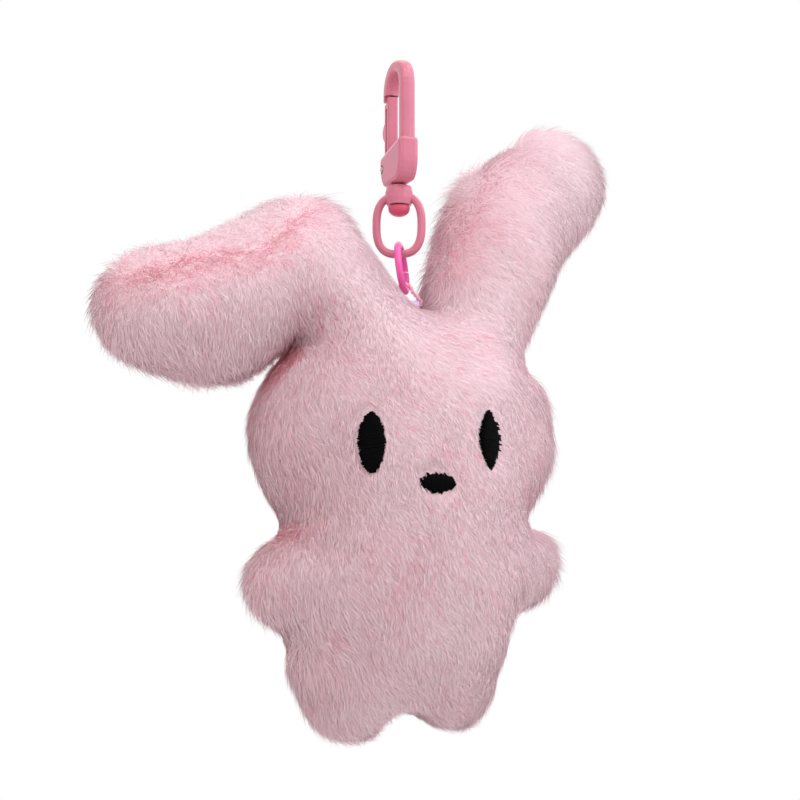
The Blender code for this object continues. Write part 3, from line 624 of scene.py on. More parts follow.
def scatter(mesh, count, draw):
    """Evenly drawn roots over a mesh, with the skin's normal at each."""
    points, normals, triangles = surface_of(mesh)
    a, b, c = (points[triangles[:, k]] for k in range(3))
    area = np.cumsum(np.linalg.norm(np.cross(b - a, c - a), axis=1))
    marks = (np.arange(count) + draw.random(count)) / count * area[-1]
    corners = triangles[np.searchsorted(area, marks)]
    first, second = draw.random(count), draw.random(count)
    fold = first + second > 1
    first[fold], second[fold] = 1 - first[fold], 1 - second[fold]
    weights = np.column_stack([1 - first - second, first, second])[:, :, None]
    return (points[corners] * weights).sum(axis=1), unit((normals[corners] * weights).sum(axis=1))


def on_front(ups):
    """1 on the front of the rabbit, 0 on its back."""
    edge, fade = 0.25, 0.12
    return 1 / (1 + np.exp((ups[:, 1] - edge) / fade))


def nearness(roots, place, reach):
    """1 at an (x, z) place, falling smoothly to 0 beyond its reach."""
    gap = np.linalg.norm(roots[:, [0, 2]] - np.array(place), axis=1)
    return np.exp(-((gap / reach) ** 2))


def along_skin(ways, ups):
    """Ways with the part that leaves the skin taken out."""
    return ways - ups * (ways * ups).sum(axis=1)[:, None]


def drawn_in(roots, ups):
    """How far the skin is drawn in at each root: 1 in the middle of the notch, 0 away from it."""
    return on_front(ups) * nearness(roots, *NOTCH)


def brushing(roots, ups, draw):
    """The way the pile is brushed, how upright it stands and how far it is turned over an edge."""
    reach, push, back, down = 0.016, 1.2, 0.9, 0.35  # of the brush beside a parting
    stray, stray_upright, sway = 0.26, 0.9, 0.28  # turns of strands in the skin, in radians
    wavelength, phase, notch_upright = 0.013, 1.7, 0.6
    flow = np.tile(COMBED, (len(roots), 1))
    upright, turned = np.zeros(len(roots)), np.zeros(len(roots))
    front = on_front(ups)
    for line, narrow, width, rosy in PARTINGS:
        gap, away = from_line(roots[:, [0, 2]], line)
        hold = (front * np.exp(-((gap / reach) ** 2)))[:, None]
        over = np.maximum(away @ np.array(narrow), 0.0)
        spread = np.column_stack([away[:, 0], back * over, away[:, 1] - down * (1 - over)])
        flow = flow * (1 - hold) + push * hold * spread
        upright = np.maximum(upright, rosy * front * np.exp(-((gap / width) ** 2)))
        turned = np.maximum(turned, hold[:, 0] * over)
    place, swirl_reach, swirled = SWIRL
    hold = (front * nearness(roots, place, swirl_reach))[:, None]
    flow = flow * (1 - hold) + hold * np.array(swirled)
    upright = np.maximum(upright, notch_upright * drawn_in(roots, ups))
    flow = unit(along_skin(flow, ups) + 1e-4)
    turn = (stray + stray_upright * upright) * draw.standard_normal(len(roots))
    turn = sway * ripple(roots, wavelength, phase) + turn
    flow = flow * np.cos(turn)[:, None] + np.cross(ups, flow) * np.sin(turn)[:, None]
    return unit(along_skin(flow, ups)), upright, turned


def tuft_pull(roots, spacing, draw):
    """For each root, the way to the middle of its tuft, and the number of that tuft."""
    root_spacing = 0.00038
    wanted = max(1, round(len(roots) * (root_spacing / spacing) ** 2))
    chosen = draw.choice(len(roots), wanted, replace=False)
    tree = KDTree(wanted)
    for number, root in enumerate(chosen):
        tree.insert(roots[root], number)
    tree.balance()
    tufts = np.array([tree.find(root)[1] for root in roots])
    return roots[chosen][tufts] - roots, tufts


def skin_tree(mesh):
    """The skin as a tree that finds hits and nearest points."""
    points, _, triangles = surface_of(mesh)
    return BVHTree.FromPolygons(points.tolist(), triangles.tolist())


# Its depth sets the painted shade in creases
def creases(skin, roots, ups):
    """How deep in a crease each root lies: 1 where the skin faces itself close by, 0 in the open."""
    lift, reach = 0.0008, 0.012
    depth = np.zeros(len(roots))
    for k, (root, up) in enumerate(zip(roots, ups)):
        gap = skin.ray_cast(Vector(root + lift * up), Vector(up), reach)[3]
        if gap is not None:
            depth[k] = 1 - gap / reach
    return depth


def strand_lines(roots, ups, flow, upright, lengths, pull, plush):
    """Points along every strand, at its root, along it and at its tip."""
    stations, steps = np.array((0.0, 0.5, 1.0)), 8
    root_depth, bend, draw_in, stiff = 0.0003, 1.25, 1.5, 0.6
    marks = np.linspace(0, 1, steps + 1)
    rise = plush.rise * (1 - upright) + UPRIGHT_RISE * upright
    sag = plush.droop * (1 - stiff * upright)
    path = [roots - root_depth * ups]
    for low, high in zip(marks, marks[1:]):
        middle = (low + high) / 2
        angle = rise * (1 - middle) ** bend - sag * middle
        way = np.cos(angle)[:, None] * flow + np.sin(angle)[:, None] * ups
        path.append(path[-1] + (high - low) * lengths[:, None] * way)
    lines = [path[round(steps * s)] + plush.gather * s**draw_in * pull for s in stations]
    return np.stack(lines, axis=1)


def lift_out(skin, lines, clearance):
    """Strands that would run under the skin across a crease are lifted over it."""
    for k, tip in enumerate(lines[:, 2]):
        near, normal, _, _ = skin.find_nearest(Vector(tip))
        sunk = clearance - (Vector(tip) - near).dot(normal)
        if sunk > 0:
            lines[k, 2] += sunk * np.array(normal)
            lines[k, 1] += 0.5 * sunk * np.array(normal)


def strand_mesh(name, lines, ups, widths, tones, softness):
    """Closed, tapering three-sided strands, flat on top and keeled below."""
    count, size = len(lines), 7
    root_width, top_weight, tip_lift, uv_margin = 0.8, 1.9, 0.5, 0.01
    root, middle, tip = lines[:, 0], lines[:, 1], lines[:, 2]
    rings, normals = [], []
    for centre, way, share in ((root, middle - root, root_width), (middle, tip - root, 1.0)):
        way = unit(way)
        side = unit(np.cross(way, ups))
        ridge = unit(np.cross(side, way))
        half = (share * widths / 2)[:, None]
        rings += [centre - half * side, centre - half * ridge, centre + half * side]
        top = top_weight * unit((1 - softness) * ridge + softness * ups)
        normals += [unit(top - side), -ridge, unit(top + side)]
    points = np.stack(rings + [tip], axis=1)
    normals.append(unit(tip - middle + tip_lift * widths[:, None] * ups))
    faces = [(0, 1, 2)]
    for a, b in ((0, 1), (1, 2), (2, 0)):
        faces += [(b, a, b + 3), (b + 3, a, a + 3), (b + 3, a + 3, 6)]
    corners = (np.array(faces).reshape(1, -1) + size * np.arange(count)[:, None]).ravel()
    mesh = bpy.data.meshes.new(name)
    mesh.vertices.add(size * count)
    mesh.vertices.foreach_set("co", points.ravel())
    mesh.loops.add(len(corners))
    mesh.loops.foreach_set("vertex_index", corners.astype(np.int32))
    mesh.polygons.add(len(corners) // 3)
    mesh.polygons.foreach_set("loop_start", np.arange(0, len(corners), 3, dtype=np.int32))
    mesh.update(calc_edges=True)
    heights = np.array((0.0, 0.0, 0.0, 0.5, 0.5, 0.5, 1.0))[np.array(faces).ravel()]
    place = np.column_stack([np.repeat(tones, len(heights)), np.tile(heights, count)])
    place = uv_margin + (1 - 2 * uv_margin) * place
    for layer in ("strand", "OFBake"):
        mesh.uv_layers.new(name=layer).data.foreach_set("uv", place.ravel())
    mesh.shade_smooth()
    mesh.normals_split_custom_set_from_vertices(np.stack(normals, axis=1).reshape(-1, 3))
    return mesh


def patch_of(node):
    """Middle and half sizes, in x and z, of an embroidered patch."""
    low, high = (np.array((corner.x, corner.z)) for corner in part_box(node))
    return (low + high) / 2, (high - low) / 2


def round_section(path, across, other, radius, sides):
    """Points of a round section at every point of a path."""
    turns = [(math.cos(a), math.sin(a)) for a in np.linspace(0, 2 * math.pi, sides, endpoint=False)]
    return [
        path[k] + radius * (c * across[k] + s * other[k]) for k in range(len(path)) for c, s in turns
    ]


def ring_faces(rings, sides, first, closed):
    """Faces between the rings of a tube, whose last ring may join its first."""
    faces = []
    for ring in range(rings if closed else rings - 1):
        here, there = first + ring * sides, first + (ring + 1) % rings * sides
        for k in range(sides):
            step = (k + 1) % sides
            faces.append((here + k, here + step, there + step, there + k))
    return faces


def capped_faces(rings, sides, first):
    """Faces of a tube of rings with a cap on each end."""
    last = first + (rings - 1) * sides
    caps = [tuple(range(first + sides - 1, first - 1, -1)), tuple(range(last, last + sides))]
    return ring_faces(rings, sides, first, closed=False) + caps


def tubes(paths, radius, sides):
    """Points and faces of round, capped threads along paths."""
    points, faces = [], []
    for path in paths:
        along = unit(np.gradient(path, axis=0))
        across = unit(np.cross(along, (0.0, 1.0, 0.0)))
        faces += capped_faces(len(path), sides, len(points))
        points += round_section(path, across, np.cross(along, across), radius, sides)
    return points, faces


def fill_of(node, places):
    """How far out (x, z) places are on an embroidered patch: under 1 is on it."""
    centre, half = patch_of(node)
    across, high = np.abs((places - centre) / half).T
    _, sides, ends, _ = PATCHES[node]
    return across**sides + high**ends


def pad_under(node):
    """The padding under the stitches: the part's own patch, drawn in to the stitched outline."""
    highest, inset, sunk = 0.98, 0.86, 0.0001
    centre, half = patch_of(node)
    _, sides, ends, _ = PATCHES[node]
    work = bmesh.new()
    work.from_mesh(frame["nodes"][node].data)
    bmesh.ops.remove_doubles(work, verts=work.verts, dist=WELD)
    for vert in work.verts:
        high = min(highest, abs(vert.co.z - centre[1]) / half[1])
        narrow = (1 - high**ends) ** (1 / sides) / math.sqrt(1 - high * high)
        vert.co.x = centre[0] + inset * narrow * (vert.co.x - centre[0])
        vert.co.z = centre[1] + inset * (vert.co.z - centre[1])
        vert.co.y += sunk
    return work


def satin_stitches(node, face, draw):
    """Threads laid side by side over a padded patch, their ends sunk in the skin."""
    tried, fewest, bends, thread_sides = 221, 4, 9, 6
    past, uneven = 1.1, 0.1
    centre, half = patch_of(node)
    heading, _, _, ragged = PATCHES[node]
    mesh = frame["nodes"][node].data
    pad = BVHTree.FromPolygons([v.co for v in mesh.vertices], [p.vertices for p in mesh.polygons])
    run = np.array((math.cos(math.radians(heading)), math.sin(math.radians(heading))))
    step = np.array((-run[1], run[0]))
    reach = np.abs(half * step).sum()
    along = np.linspace(-past, past, tried) * np.linalg.norm(half)
    sunk = np.array((0.0, 2 * face.thread, 0.0))
    paths = []
    for offset in np.arange(-reach, reach, face.pitch):
        middle = centre + step * (offset + uneven * face.pitch * draw.standard_normal())
        inside = along[fill_of(node, middle + run * along[:, None]) < 1]
        if len(inside) < fewest:
            continue
        ends = inside[[0, -1]] + ragged * draw.standard_normal(2)
        path = []
        for share in np.linspace(0.0, 1.0, bends):
            x, z = middle + run * (ends[0] + share * (ends[1] - ends[0]))
            hit = pad.ray_cast(Vector((x, -1.0, z)), Vector((0, 1, 0)))[0]
            if hit is None:
                near = pad.find_nearest(Vector((x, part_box(node)[0].y, z)))[0]
                hit = Vector((x, near.y, z))
            path.append(np.array(hit))
        path[0] = path[0] + sunk
        path[-1] = path[-1] + sunk
        paths.append(np.array(path))
    points, faces = tubes(paths, face.thread / 2, thread_sides)
    work = pad_under(node)
    verts = [work.verts.new(point) for point in points]
    for corners in faces:
        work.faces.new([verts[k] for k in corners])
    made = mesh_from(work, f"{node}_stitches")
    made.shade_smooth()
    return made


def clear_of_face(roots, flow, lengths, front, draw):
    """Strands that start on the embroidery go, and those that would cover it are cut short."""
    rim, well_inside, covered = 1.1, 0.7, 1.4  # how far out on a patch, where 1 is its outline
    cuts, shorter, uneven = 5, 0.75, 0.4
    keep = np.ones(len(roots), dtype=bool)
    ragged = 1.0 + uneven * draw.random(len(roots))
    for node in PATCHES:
        start = fill_of(node, roots[:, [0, 2]])
        end = fill_of(node, (roots + lengths[:, None] * flow)[:, [0, 2]])
        keep &= ~(front & (start < rim) & ((start < well_inside) | (end < covered)))
        for share in (0.5, 1.0):
            for _ in range(cuts):
                reach = (roots + share * lengths[:, None] * flow)[:, [0, 2]]
                over = front & (fill_of(node, reach) < ragged)
                lengths = np.where(over, shorter * lengths, lengths)
    return keep, lengths


def fluffed(roots, ups, lengths):
    """The pile is cropped on the faces, and longer in its fuller places."""
    cropped, facing, fade = 0.26, 0.5, 0.4
    lengths = lengths * (1 - cropped * np.clip((np.abs(ups[:, 1]) - facing) / fade, 0, 1))
    for place, reach, share in FLUFFS:
        lengths = lengths * (1 + share * nearness(roots, place, reach))
    return lengths


def clear_of_tab(roots, lengths):
    """The pile is trimmed short round the ribbon tab, twice as far in front of it as beside it."""
    shortest, reach = 0.12, 0.010
    low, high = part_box("ribbon_tab")
    seat = np.array(((low.x + high.x) / 2, (low.y + high.y) / 2, low.z))
    way = roots - seat
    way[:, 1] *= np.where(way[:, 1] < 0, 0.5, 1.0)
    gap = np.linalg.norm(way, axis=1)
    return lengths * np.clip(shortest + (1 - shortest) * gap / reach, shortest, 1.0)


def region_names(roots, ups):
    """The part of the rabbit that each root is on."""
    under_nose, over_eye, beside_eye, beside_nose = 0.008, 0.006, 0.012, 0.003
    x, z = roots[:, 0], roots[:, 2]
    chin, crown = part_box("nose")[0].z - under_nose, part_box("ribbon_tab")[0].z
    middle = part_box("ribbon_tab")[0].x
    cheek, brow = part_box("eye_left")[0].x - beside_eye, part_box("eye_left")[1].z + over_eye
    side = np.where(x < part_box("nose")[0].x + beside_nose, "_left", "_right")
    trunk = np.char.add(np.where(z > chin, "head", "body"), side)
    ear = (z > crown) | ((x < cheek) & (z > brow))
    part = np.where(ear, np.where(x < middle, "folded_ear", "upright_ear"), trunk)
    return np.char.add(np.char.add("pile_", part), np.where(ups[:, 1] < 0, "_front", "_back"))


def halves_of_large(regions, roots, most):
    """Regions with too many roots, cut at half their height."""
    regions = regions.astype("U40")
    for region in np.unique(regions):
        here = regions == region
        if here.sum() > most:
            upper = here & (roots[:, 2] > np.median(roots[here, 2]))
            regions[upper] = region + "_upper"
            regions[here & ~upper] = region + "_lower"
    return regions


def loosened(upright, share, draw):
    """How upright strands stand once a share of them has worked loose, and which of them has."""
    least, spread = 0.35, 0.4
    loose = draw.random(len(upright)) < share
    stand = least + spread * draw.random(len(upright))
    return np.where(loose, np.maximum(upright, stand), upright), loose


def pile_lengths(roots, ups, upright, plush, draw):
    """Each strand's length before the face is cleared: uneven, and shorter where it stands up."""
    uneven, upright_loss, shortest, longest = 0.16, 0.35, 0.4, 1.4
    lengths = plush.length * (1 + uneven * draw.standard_normal(len(roots)))
    lengths = lengths * (1 - upright_loss * upright)
    lengths = np.clip(lengths, shortest * plush.length, longest * plush.length)
    return clear_of_tab(roots, fluffed(roots, ups, lengths))


def strand_widths(count, usual, draw):
    """Each strand's width."""
    uneven, thinnest, thickest = 0.25, 0.5, 1.6
    return usual * np.clip(1 + uneven * draw.standard_normal(count), thinnest, thickest)


def strand_tones(roots, ups, rosy, turned, tufts, skin, draw):
    """Each strand's tone, from 0 rosy to 1 pale: rosy painted shade at partings, in creases and in the
    notch, pale where it turns over, and painted light at the top.
    """
    wavelength, phase = 0.021, 0.6
    # Painted light: the pile is painted paler towards the top, where the light falls
    top = np.clip(1 - (roots[:, 2].max() - roots[:, 2]) / TONE["top_light_reach"], 0, 1)
    tones = TONE["usual"] + TONE["tuft"] * draw.standard_normal(tufts.max() + 1)[tufts]
    uneven = TONE["strand"] * draw.standard_normal(len(roots))
    tones += uneven + TONE["sway"] * ripple(roots, wavelength, phase)
    # Paler where turned over an edge; painted shade makes it rosier where brushed upright at partings,
    # in creases and in the notch over the arm
    tones += TONE["turned"] * turned - TONE["upright"] * rosy
    tones -= TONE["crease_shade"] * creases(skin, roots, ups) + TONE["drawn_in"] * drawn_in(roots, ups)
    return np.clip(tones + TONE["top"] * top, 0, 1)


class KEYCHAIN_OT_stuff_skin(bpy.types.Operator):
    """Stuff the rabbit's skin over the part's filling"""

    bl_idname = "keychain.stuff_skin"
    bl_label = "Stuff the Skin"

    def execute(self, context):
        plush = context.scene.keychain_plush
        skin = show("plush_skin", stuffed_skin(plush), backing_cloth(plush))
        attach(skin, "plush")
        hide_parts("front_panel", "back_panel", "stuffing")
        return {"FINISHED"}


class KEYCHAIN_OT_grow_pile(bpy.types.Operator):
    """Grow and brush the pile over the stuffed skin"""

    bl_idname = "keychain.grow_pile"
    bl_label = "Grow the Pile"

    def execute(self, context):
        plush = context.scene.keychain_plush
        skin = bpy.data.objects.get("plush_skin")
        if skin is None:
            raise RuntimeError("stuff the skin before the pile is grown")
        draw = np.random.default_rng(plush.seed)
        roots, ups = scatter(skin.data, plush.strands, draw)
        flow, brushed, turned = brushing(roots, ups, draw)
        upright, loose = loosened(brushed, plush.loose, draw)
        lengths = pile_lengths(roots, ups, upright, plush, draw)
        keep, lengths = clear_of_face(roots, flow, lengths, ups[:, 1] < 0, draw)
        pull, tufts = tuft_pull(roots, plush.tuft, draw)
        under = skin_tree(skin.data)
        # Painted shade: strands brushed upright at partings and in the notch, loose ones apart, are
        # painted rosier
        rosy = np.where(loose, 0, brushed)
        tones = strand_tones(roots, ups, rosy, turned, tufts, under, draw)
        widths = strand_widths(len(roots), plush.width, draw)
        lines = strand_lines(roots, ups, flow, upright, lengths, pull, plush)
        lift_out(under, lines, TIP_CLEARANCE)
        regions = halves_of_large(region_names(roots, ups), roots, MOST_IN_A_PIECE)
        fibre = pile_fibre(plush)
        for region in np.unique(regions):
            name, here = str(region), keep & (regions == region)
            mesh = strand_mesh(name, lines[here], ups[here], widths[here], tones[here], plush.softness)
            pile = show(name, mesh, fibre)
            # Fibres let light through, so the strands don't shade each other
            pile.visible_shadow = False
            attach(pile, "plush")
        return {"FINISHED"}


class KEYCHAIN_OT_stitch_face(bpy.types.Operator):
    """Embroider the eyes and the nose in satin stitch over padding"""

    bl_idname = "keychain.stitch_face"
    bl_label = "Stitch the Face"

    def execute(self, context):
        face = context.scene.keychain_face
        thread = yarn(
            "black_thread",
            tuple(face.colour),
            tuple(3.0 * c for c in face.colour),
            stretched=(1, 1, 1),
            scale=2600.0,
            strength=0.4,
            sheen=0.0,
            specular=0.03,
        )
        draw = np.random.default_rng(face.seed)
        for node in PATCHES:
            stitches = show(f"{node}_stitches", satin_stitches(node, face, draw), thread)
            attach(stitches, "plush")
            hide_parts(node)
        return {"FINISHED"}


def arc(centre, level, radius, first, last, steps):
    """Points of an upright arc between two angles in degrees; 0 is along the level line, 90 up."""
    up = np.array((0.0, 0.0, 1.0))
    angles = np.radians(np.linspace(first, last, steps))
    return [centre + radius * (math.cos(a) * level + math.sin(a) * up) for a in angles]


def cord_route(link):
    """The middle of the cord along its closed loop: over the ring's wire and under the tab."""
    wide_steps, corner_steps = 8, 7
    joints = {joint["name"]: joint for joint in frame["joints"]}
    wire = np.array(joints["plush_swing"]["pos_m"])
    broad = np.array(joints["ring_swing"]["axis"])
    level = np.array((1.0, 0.0, 0.0))
    low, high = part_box("cord_loop")
    bend = high.z - link.cord / 2 - wire[2]
    tab_low, tab_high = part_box("ribbon_tab")
    tab = (tab_low + tab_high) / 2
    middle = np.array((tab.x, tab.y, low.z + link.cord / 2 + link.corner))
    reach = (tab_high.x - tab_low.x) / 2 + link.clearance + link.cord / 2 - link.corner
    return (
        arc(wire, broad, bend, 90, 0, wide_steps)
        + arc(middle + reach * level, level, link.corner, 0, -90, corner_steps)
        + arc(middle - reach * level, level, link.corner, -90, -180, corner_steps)
        + arc(wire, broad, bend, 180, 90, wide_steps)[:-1]
    )


def even_steps(line, count, to_end):
    """A line drawn again in even steps, and how far along it each of them is."""
    along = np.concatenate([[0.0], np.cumsum(np.linalg.norm(np.diff(line, axis=0), axis=1))])
    marks = np.linspace(0, along[-1], count, endpoint=to_end)
    return np.column_stack([np.interp(marks, along, column) for column in line.T]), marks


def even_loop(route, count):
    """A closed route drawn again in even steps, with its corners eased."""
    passes = 6
    line, _ = even_steps(np.array(route + route[:1]), count, to_end=False)
    for _ in range(passes):
        line = 0.5 * line + 0.25 * (np.roll(line, 1, axis=0) + np.roll(line, -1, axis=0))
    return line


def twisted_cord(link):
    """Two plies of cord that turn round each other along the loop."""
    count, sides, closeness = 240, 10, 0.95
    line = even_loop(cord_route(link), count)
    along = unit(np.roll(line, -1, axis=0) - np.roll(line, 1, axis=0))
    spokes = line - line.mean(axis=0)
    flat = unit(np.cross(spokes, np.roll(spokes, -1, axis=0)).sum(axis=0))
    across = unit(np.cross(along, flat))
    other = np.cross(along, across)
    angle = 2 * math.pi * link.turns * np.arange(count) / count
    radius = link.cord / 4
    points, faces = [], []
    for start in (0.0, math.pi):
        turn = (angle + start)[:, None]
        ply = line + closeness * radius * (np.cos(turn) * across + np.sin(turn) * other)
        ahead = unit(np.roll(ply, -1, axis=0) - np.roll(ply, 1, axis=0))
        side = unit(np.cross(ahead, flat))
        faces += ring_faces(count, sides, len(points), closed=True)
        points += round_section(ply, side, np.cross(ahead, side), radius, sides)
    return smooth_mesh("cord_plies", points, faces)


def folded_ribbon(link):
    """A ribbed ribbon folded over the cord, thicker along its woven edges."""
    rows, columns = 150, np.linspace(-1, 1, 13)
    tucked, bends, straight, leg = -35, 15, 0.0013, 0.9 * link.ribbon
    thin, rib, thick_edge, edge_rib = 0.55, 0.25, 0.80, 0.15  # shares of half the thickness
    edge_start, edge_fade, nick = 0.72, 0.2, 0.02  # shares of half the width
    low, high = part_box("ribbon_tab")
    fold = (high.y - low.y - link.ribbon) / 2
    top = high.z - link.ribbon / 2 - fold
    angles = np.radians(np.linspace(90, tucked, bends))
    side = [(fold * math.cos(a), top + fold * math.sin(a)) for a in angles]
    side += [(leg, low.z + straight), (leg, low.z)]
    path = np.array([(-y, z) for y, z in reversed(side[1:])] + side)
    path, marks = even_steps(path, rows, to_end=True)
    run = unit(np.gradient(path, axis=0))
    out = np.column_stack([-run[:, 1], run[:, 0]])
    wave = (0.5 + 0.5 * np.cos(2 * math.pi * marks / link.rib))[:, None]
    edge = np.clip((np.abs(columns) - edge_start) / edge_fade, 0, 1)
    thick = (thin + rib * wave) * (1 - edge) + (thick_edge + edge_rib * wave) * edge
    thick = link.ribbon / 2 * thick
    middle, half_width = (low + high) / 2, (high.x - low.x) / 2
    sheets = []
    for face in (1, -1):
        x = middle.x + half_width * columns * (1 - nick * wave * (np.abs(columns) == 1))
        y = middle.y + path[:, :1] + face * thick * out[:, :1]
        z = path[:, 1:] + face * thick * out[:, 1:]
        sheets.append(np.stack([x, y, z], axis=2)[:, ::face])
    rings = np.concatenate(sheets, axis=1)
    mesh = smooth_mesh("satin_ribbon", rings.reshape(-1, 3), capped_faces(rows, rings.shape[1], 0))
    work = bmesh.new()
    work.from_mesh(mesh)
    bmesh.ops.recalc_face_normals(work, faces=work.faces)
    work.to_mesh(mesh)
    work.free()
    return mesh


def soften_edges(node, width):
    """Round a cast piece's edges a little, as its paint does."""
    thing = frame["nodes"][node]
    joined = thing.modifiers.new("joined", "WELD")
    joined.merge_threshold = WELD
    edges = thing.modifiers.new("soft_edges", "BEVEL")
    edges.width = width
    edges.segments = 2
    edges.limit_method = "ANGLE"
    edges.angle_limit = math.radians(40)
    thing.modifiers.new("shading", "WEIGHTED_NORMAL").keep_sharp = True


def wound_spring(metal):
    """The gate's coil spring, in round wire."""
    steps, sides = 24, 10
    low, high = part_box("gate_spring")
    middle = (low + high) / 2
    radius = (high.x - low.x - metal.spring_wire) / 2
    share = np.linspace(0, 1, steps * metal.spring_turns + 1)
    angle = 2 * math.pi * metal.spring_turns * share
    first, last = low.y + metal.spring_wire / 2, high.y - metal.spring_wire / 2
    x, z = middle.x + radius * np.cos(angle), middle.z + radius * np.sin(angle)
    wire = np.column_stack([x, first + (last - first) * share, z])
    return smooth_mesh("wound_spring", *tubes([wire], metal.spring_wire / 2, sides))


class KEYCHAIN_OT_paint_metal(bpy.types.Operator):
    """Paint the hook, gate, swivel and ring, and wind the gate's spring"""

    bl_idname = "keychain.paint_metal"
    bl_label = "Paint the Metal"

    def execute(self, context):
        metal = context.scene.keychain_metal
        pink = lacquer("pink_lacquer", tuple(metal.hook_colour))
        for node in ("clasp_hook", "clasp_gate", "swivel_eye"):
            repaint(node, pink)
        repaint("swivel_rivet", lacquer("rose_lacquer", tuple(metal.rivet_colour)))
        repaint("jump_ring", lacquer("hot_pink_lacquer", tuple(metal.ring_colour)))
        for node in ("clasp_hook", "clasp_gate"):
            soften_edges(node, EDGE_ROUNDING)
        steel = spring_steel()
        repaint("gate_pin", steel)
        spring = show("wound_spring", wound_spring(metal), steel)
        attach(spring, "clasp")
        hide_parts("gate_spring")
        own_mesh(spring)
        return {"FINISHED"}


class KEYCHAIN_OT_dress_link(bpy.types.Operator):
    """Lay the twisted cord loop and fold the ribbon tab over it"""

    bl_idname = "keychain.dress_link"
    bl_label = "Dress the Link"

    def execute(self, context):
        link = context.scene.keychain_link
        cord, ribbon = tuple(link.cord_colour), tuple(link.ribbon_colour)
        pale_cord, pale_ribbon = (tuple(1.2 * c for c in colour) for colour in (cord, ribbon))
        twine = yarn("rose_cord", cord, pale_cord, (1, 1, 1), scale=3000.0, strength=0.5, sheen=0.2)
        satin = yarn("satin", ribbon, pale_ribbon, (6, 1, 0.3), scale=900.0, strength=0.3, sheen=0.3)
        for name, mesh, finish, node, slot in (
            ("twisted_cord", twisted_cord(link), twine, "cord_loop", "rose_cord"),
            ("folded_ribbon", folded_ribbon(link), satin, "ribbon_tab", "lavender_satin"),
        ):
            piece = show(name, mesh, finish)
            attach(piece, "plush")
            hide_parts(node)
        return {"FINISHED"}


def soft_box(name, place, aim, size, power, tint):
    """A square studio lamp that faces a point."""
    lamp = bpy.data.lights.new(name, "AREA")
    lamp.color = tint
    lamp.size = size
    lamp.energy = power
    thing = bpy.data.objects.new(name, lamp)
    thing.location = place
    thing.rotation_euler = (Vector(aim) - Vector(place)).to_track_quat("-Z", "Y").to_euler()
    bpy.context.scene.collection.objects.link(thing)


def white_to_eye(tree, strength):
    """A world that lights the object softly and looks white to the camera and in reflections."""
    below, above = 0.92, 1.08  # shares of the strength
    nodes = tree.nodes
    nodes.clear()
    way = nodes.new("ShaderNodeTexCoord").outputs["Generated"]
    height = add_node(tree, "ShaderNodeSeparateXYZ", "Z", {"Vector": way})
    inputs = {"Value": height, "From Min": -1.0, "To Min": below * strength, "To Max": above * strength}
    dome = add_node(tree, "ShaderNodeMapRange", "Result", inputs)
    inputs = {"Color": (1.0, 0.885, 0.875, 1.0), "Strength": dome}
    soft = add_node(tree, "ShaderNodeBackground", "Background", inputs)
    white = add_node(tree, "ShaderNodeBackground", "Background", {"Color": (1.0, 1.0, 1.0, 1.0)})
    rays = nodes.new("ShaderNodeLightPath").outputs
    seen = rays["Is Camera Ray"]
    for ray in ("Is Glossy Ray", "Is Transmission Ray"):
        seen = add_node(tree, "ShaderNodeMath", "Value", {0: seen, 1: rays[ray]}, operation="MAXIMUM")
    mix = add_node(tree, "ShaderNodeMixShader", "Shader", {"Fac": seen, 1: soft, 2: white})
    feed(tree, nodes.new("ShaderNodeOutputWorld").inputs["Surface"], mix)


def fade_out(tree, shader):
    """Let the floor end softly in the white round it, and be clear from below."""
    nodes = tree.nodes
    place = nodes.new("ShaderNodeTexCoord").outputs["Object"]
    ball = add_node(tree, "ShaderNodeTexGradient", "Fac", {"Vector": place}, gradient_type="SPHERICAL")
    inputs = {"Value": ball, "From Min": 0.15, "From Max": 0.75}
    spread = add_node(tree, "ShaderNodeMapRange", "Result", inputs, interpolation_type="SMOOTHSTEP")
    inputs = {0: spread, 1: nodes.new("ShaderNodeNewGeometry").outputs["Backfacing"]}
    above = add_node(tree, "ShaderNodeMath", "Value", inputs, operation="SUBTRACT", use_clamp=True)
    clear = nodes.new("ShaderNodeBsdfTransparent").outputs["BSDF"]
    inputs = {"Fac": above, 1: clear, 2: shader.outputs["BSDF"]}
    mix = add_node(tree, "ShaderNodeMixShader", "Shader", inputs)
    feed(tree, nodes["Material Output"].inputs["Surface"], mix)


def set_camera(scene, stage, aim, back):
    """A camera on the way back from the aim, with the aim at its place in the picture."""
    eye = bpy.data.cameras.new("camera")
    eye.sensor_fit = "HORIZONTAL"
    eye.lens = eye.sensor_width * stage.distance / stage.frame_width
    eye.shift_x = (PHOTO_SIZE / 2 - stage.aim_pixel[0]) / PHOTO_SIZE
    eye.shift_y = (stage.aim_pixel[1] - PHOTO_SIZE / 2) / PHOTO_SIZE
    eye.clip_start = 0.01
    camera = bpy.data.objects.new("camera", eye)
    camera.location = aim + stage.distance * back
    camera.rotation_euler = (-back).to_track_quat("-Z", "Y").to_euler()
    scene.collection.objects.link(camera)
    scene.camera = camera
    scene.view_settings.view_transform = "Standard"


def hang_lamps(stage, aim, back):
    """Soft boxes round the aim, each placed by metres back, right and up from it."""
    right = Matrix.Rotation(stage.azimuth, 3, "Z") @ Vector((1, 0, 0))
    up = Vector((0, 0, 1))
    for name, place, size, power, tint in (
        ("key_light", (0.20, 0.76, 0.80), 1.2, stage.key_power, (0.87, 1.0, 1.04)),
        ("back_light", (-0.60, -0.25, 0.55), 0.6, stage.back_power, (1.0, 1.0, 1.0)),
        ("fill_light", (0.70, -0.25, 0.80), 0.6, stage.fill_power, (1.0, 0.97, 0.96)),
    ):
        spot = aim + place[0] * back + place[1] * right + place[2] * up
        soft_box(name, spot, aim, size, power, tint)


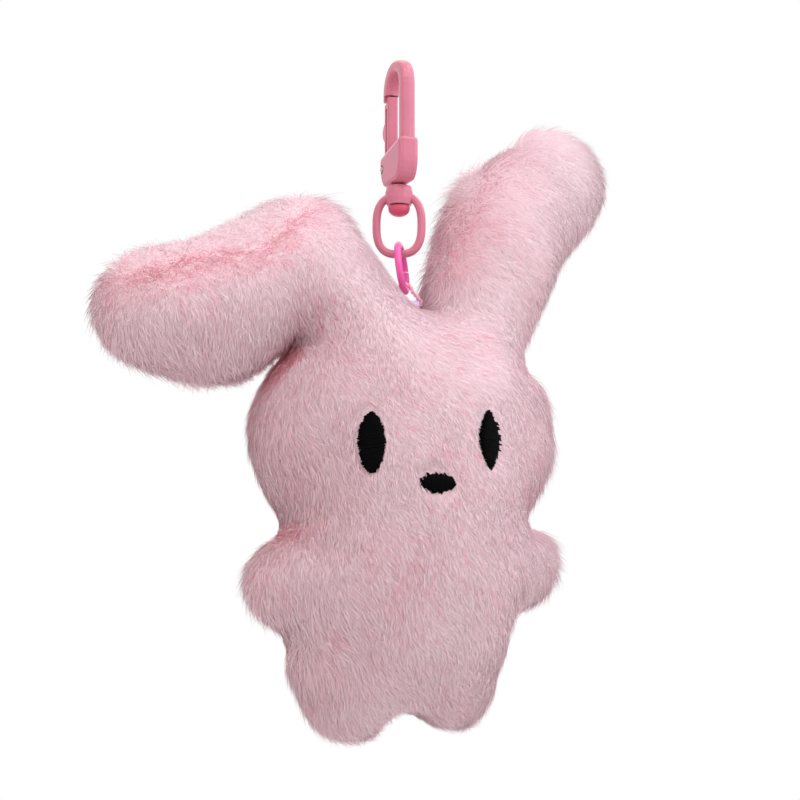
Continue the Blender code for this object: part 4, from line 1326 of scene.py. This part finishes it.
def pale_floor():
    """A wide round floor that fades into the white round it."""
    work = bmesh.new()
    bmesh.ops.create_circle(work, cap_ends=True, radius=1.5, segments=64)
    look = {"Base Color": (0.72, 0.72, 0.72, 1.0), "Roughness": 0.9}
    material, tree, shader = new_material("pale_floor", look)
    fade_out(tree, shader)
    return show("floor", mesh_from(work, "floor"), material)


class KEYCHAIN_OT_set_stage(bpy.types.Operator):
    """Set the camera, the floor and the studio lights"""

    bl_idname = "keychain.set_stage"
    bl_label = "Set the Stage"

    def execute(self, context):
        stage = context.scene.keychain_stage
        aim = Vector((0.0, 0.0, stage.aim_height))
        level, rise = math.cos(stage.elevation), math.sin(stage.elevation)
        back = Vector((math.sin(stage.azimuth) * level, -math.cos(stage.azimuth) * level, rise))
        set_camera(context.scene, stage, aim, back)
        world = bpy.data.worlds.new("studio")
        world.use_nodes = True
        white_to_eye(world.node_tree, stage.ambient)
        context.scene.world = world
        hang_lamps(stage, aim, back)
        floor = pale_floor()
        floor.location.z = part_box("front_panel")[0].z - stage.floor_drop
        return {"FINISHED"}


class KEYCHAIN_PT_panel(bpy.types.Panel):
    """Lists the steps that dress the keychain"""

    bl_idname = "KEYCHAIN_PT_panel"
    bl_label = "Plush Keychain"
    bl_space_type = "VIEW_3D"
    bl_region_type = "UI"
    bl_category = "Keychain"

    def draw(self, context):
        for step in STEPS:
            self.layout.operator(step.bl_idname)


STEPS = (
    KEYCHAIN_OT_set_stage,
    KEYCHAIN_OT_stuff_skin,
    KEYCHAIN_OT_grow_pile,
    KEYCHAIN_OT_stitch_face,
    KEYCHAIN_OT_paint_metal,
    KEYCHAIN_OT_dress_link,
)
SETTINGS = {
    "keychain_stage": StageSettings,
    "keychain_plush": PlushSettings,
    "keychain_face": FaceSettings,
    "keychain_metal": MetalSettings,
    "keychain_link": LinkSettings,
}


def register():
    """Register the settings, the steps and the panel."""
    for name, settings in SETTINGS.items():
        bpy.utils.register_class(settings)
        setattr(bpy.types.Scene, name, bpy.props.PointerProperty(type=settings))
    for step in STEPS:
        bpy.utils.register_class(step)
    bpy.utils.register_class(KEYCHAIN_PT_panel)


def unregister():
    """Take the panel, the steps and the settings out again."""
    bpy.utils.unregister_class(KEYCHAIN_PT_panel)
    for step in reversed(STEPS):
        bpy.utils.unregister_class(step)
    for name, settings in SETTINGS.items():
        delattr(bpy.types.Scene, name)
        bpy.utils.unregister_class(settings)


def corners(box):
    """A box as plain lists of numbers."""
    return [list(corner) for corner in box]


def main():
    """Dress the part."""
    register()
    bpy.ops.keychain.set_stage()
    bpy.ops.keychain.stuff_skin()
    bpy.ops.keychain.grow_pile()
    bpy.ops.keychain.stitch_face()
    bpy.ops.keychain.paint_metal()
    bpy.ops.keychain.dress_link()


if __name__ == "__main__":
    main()
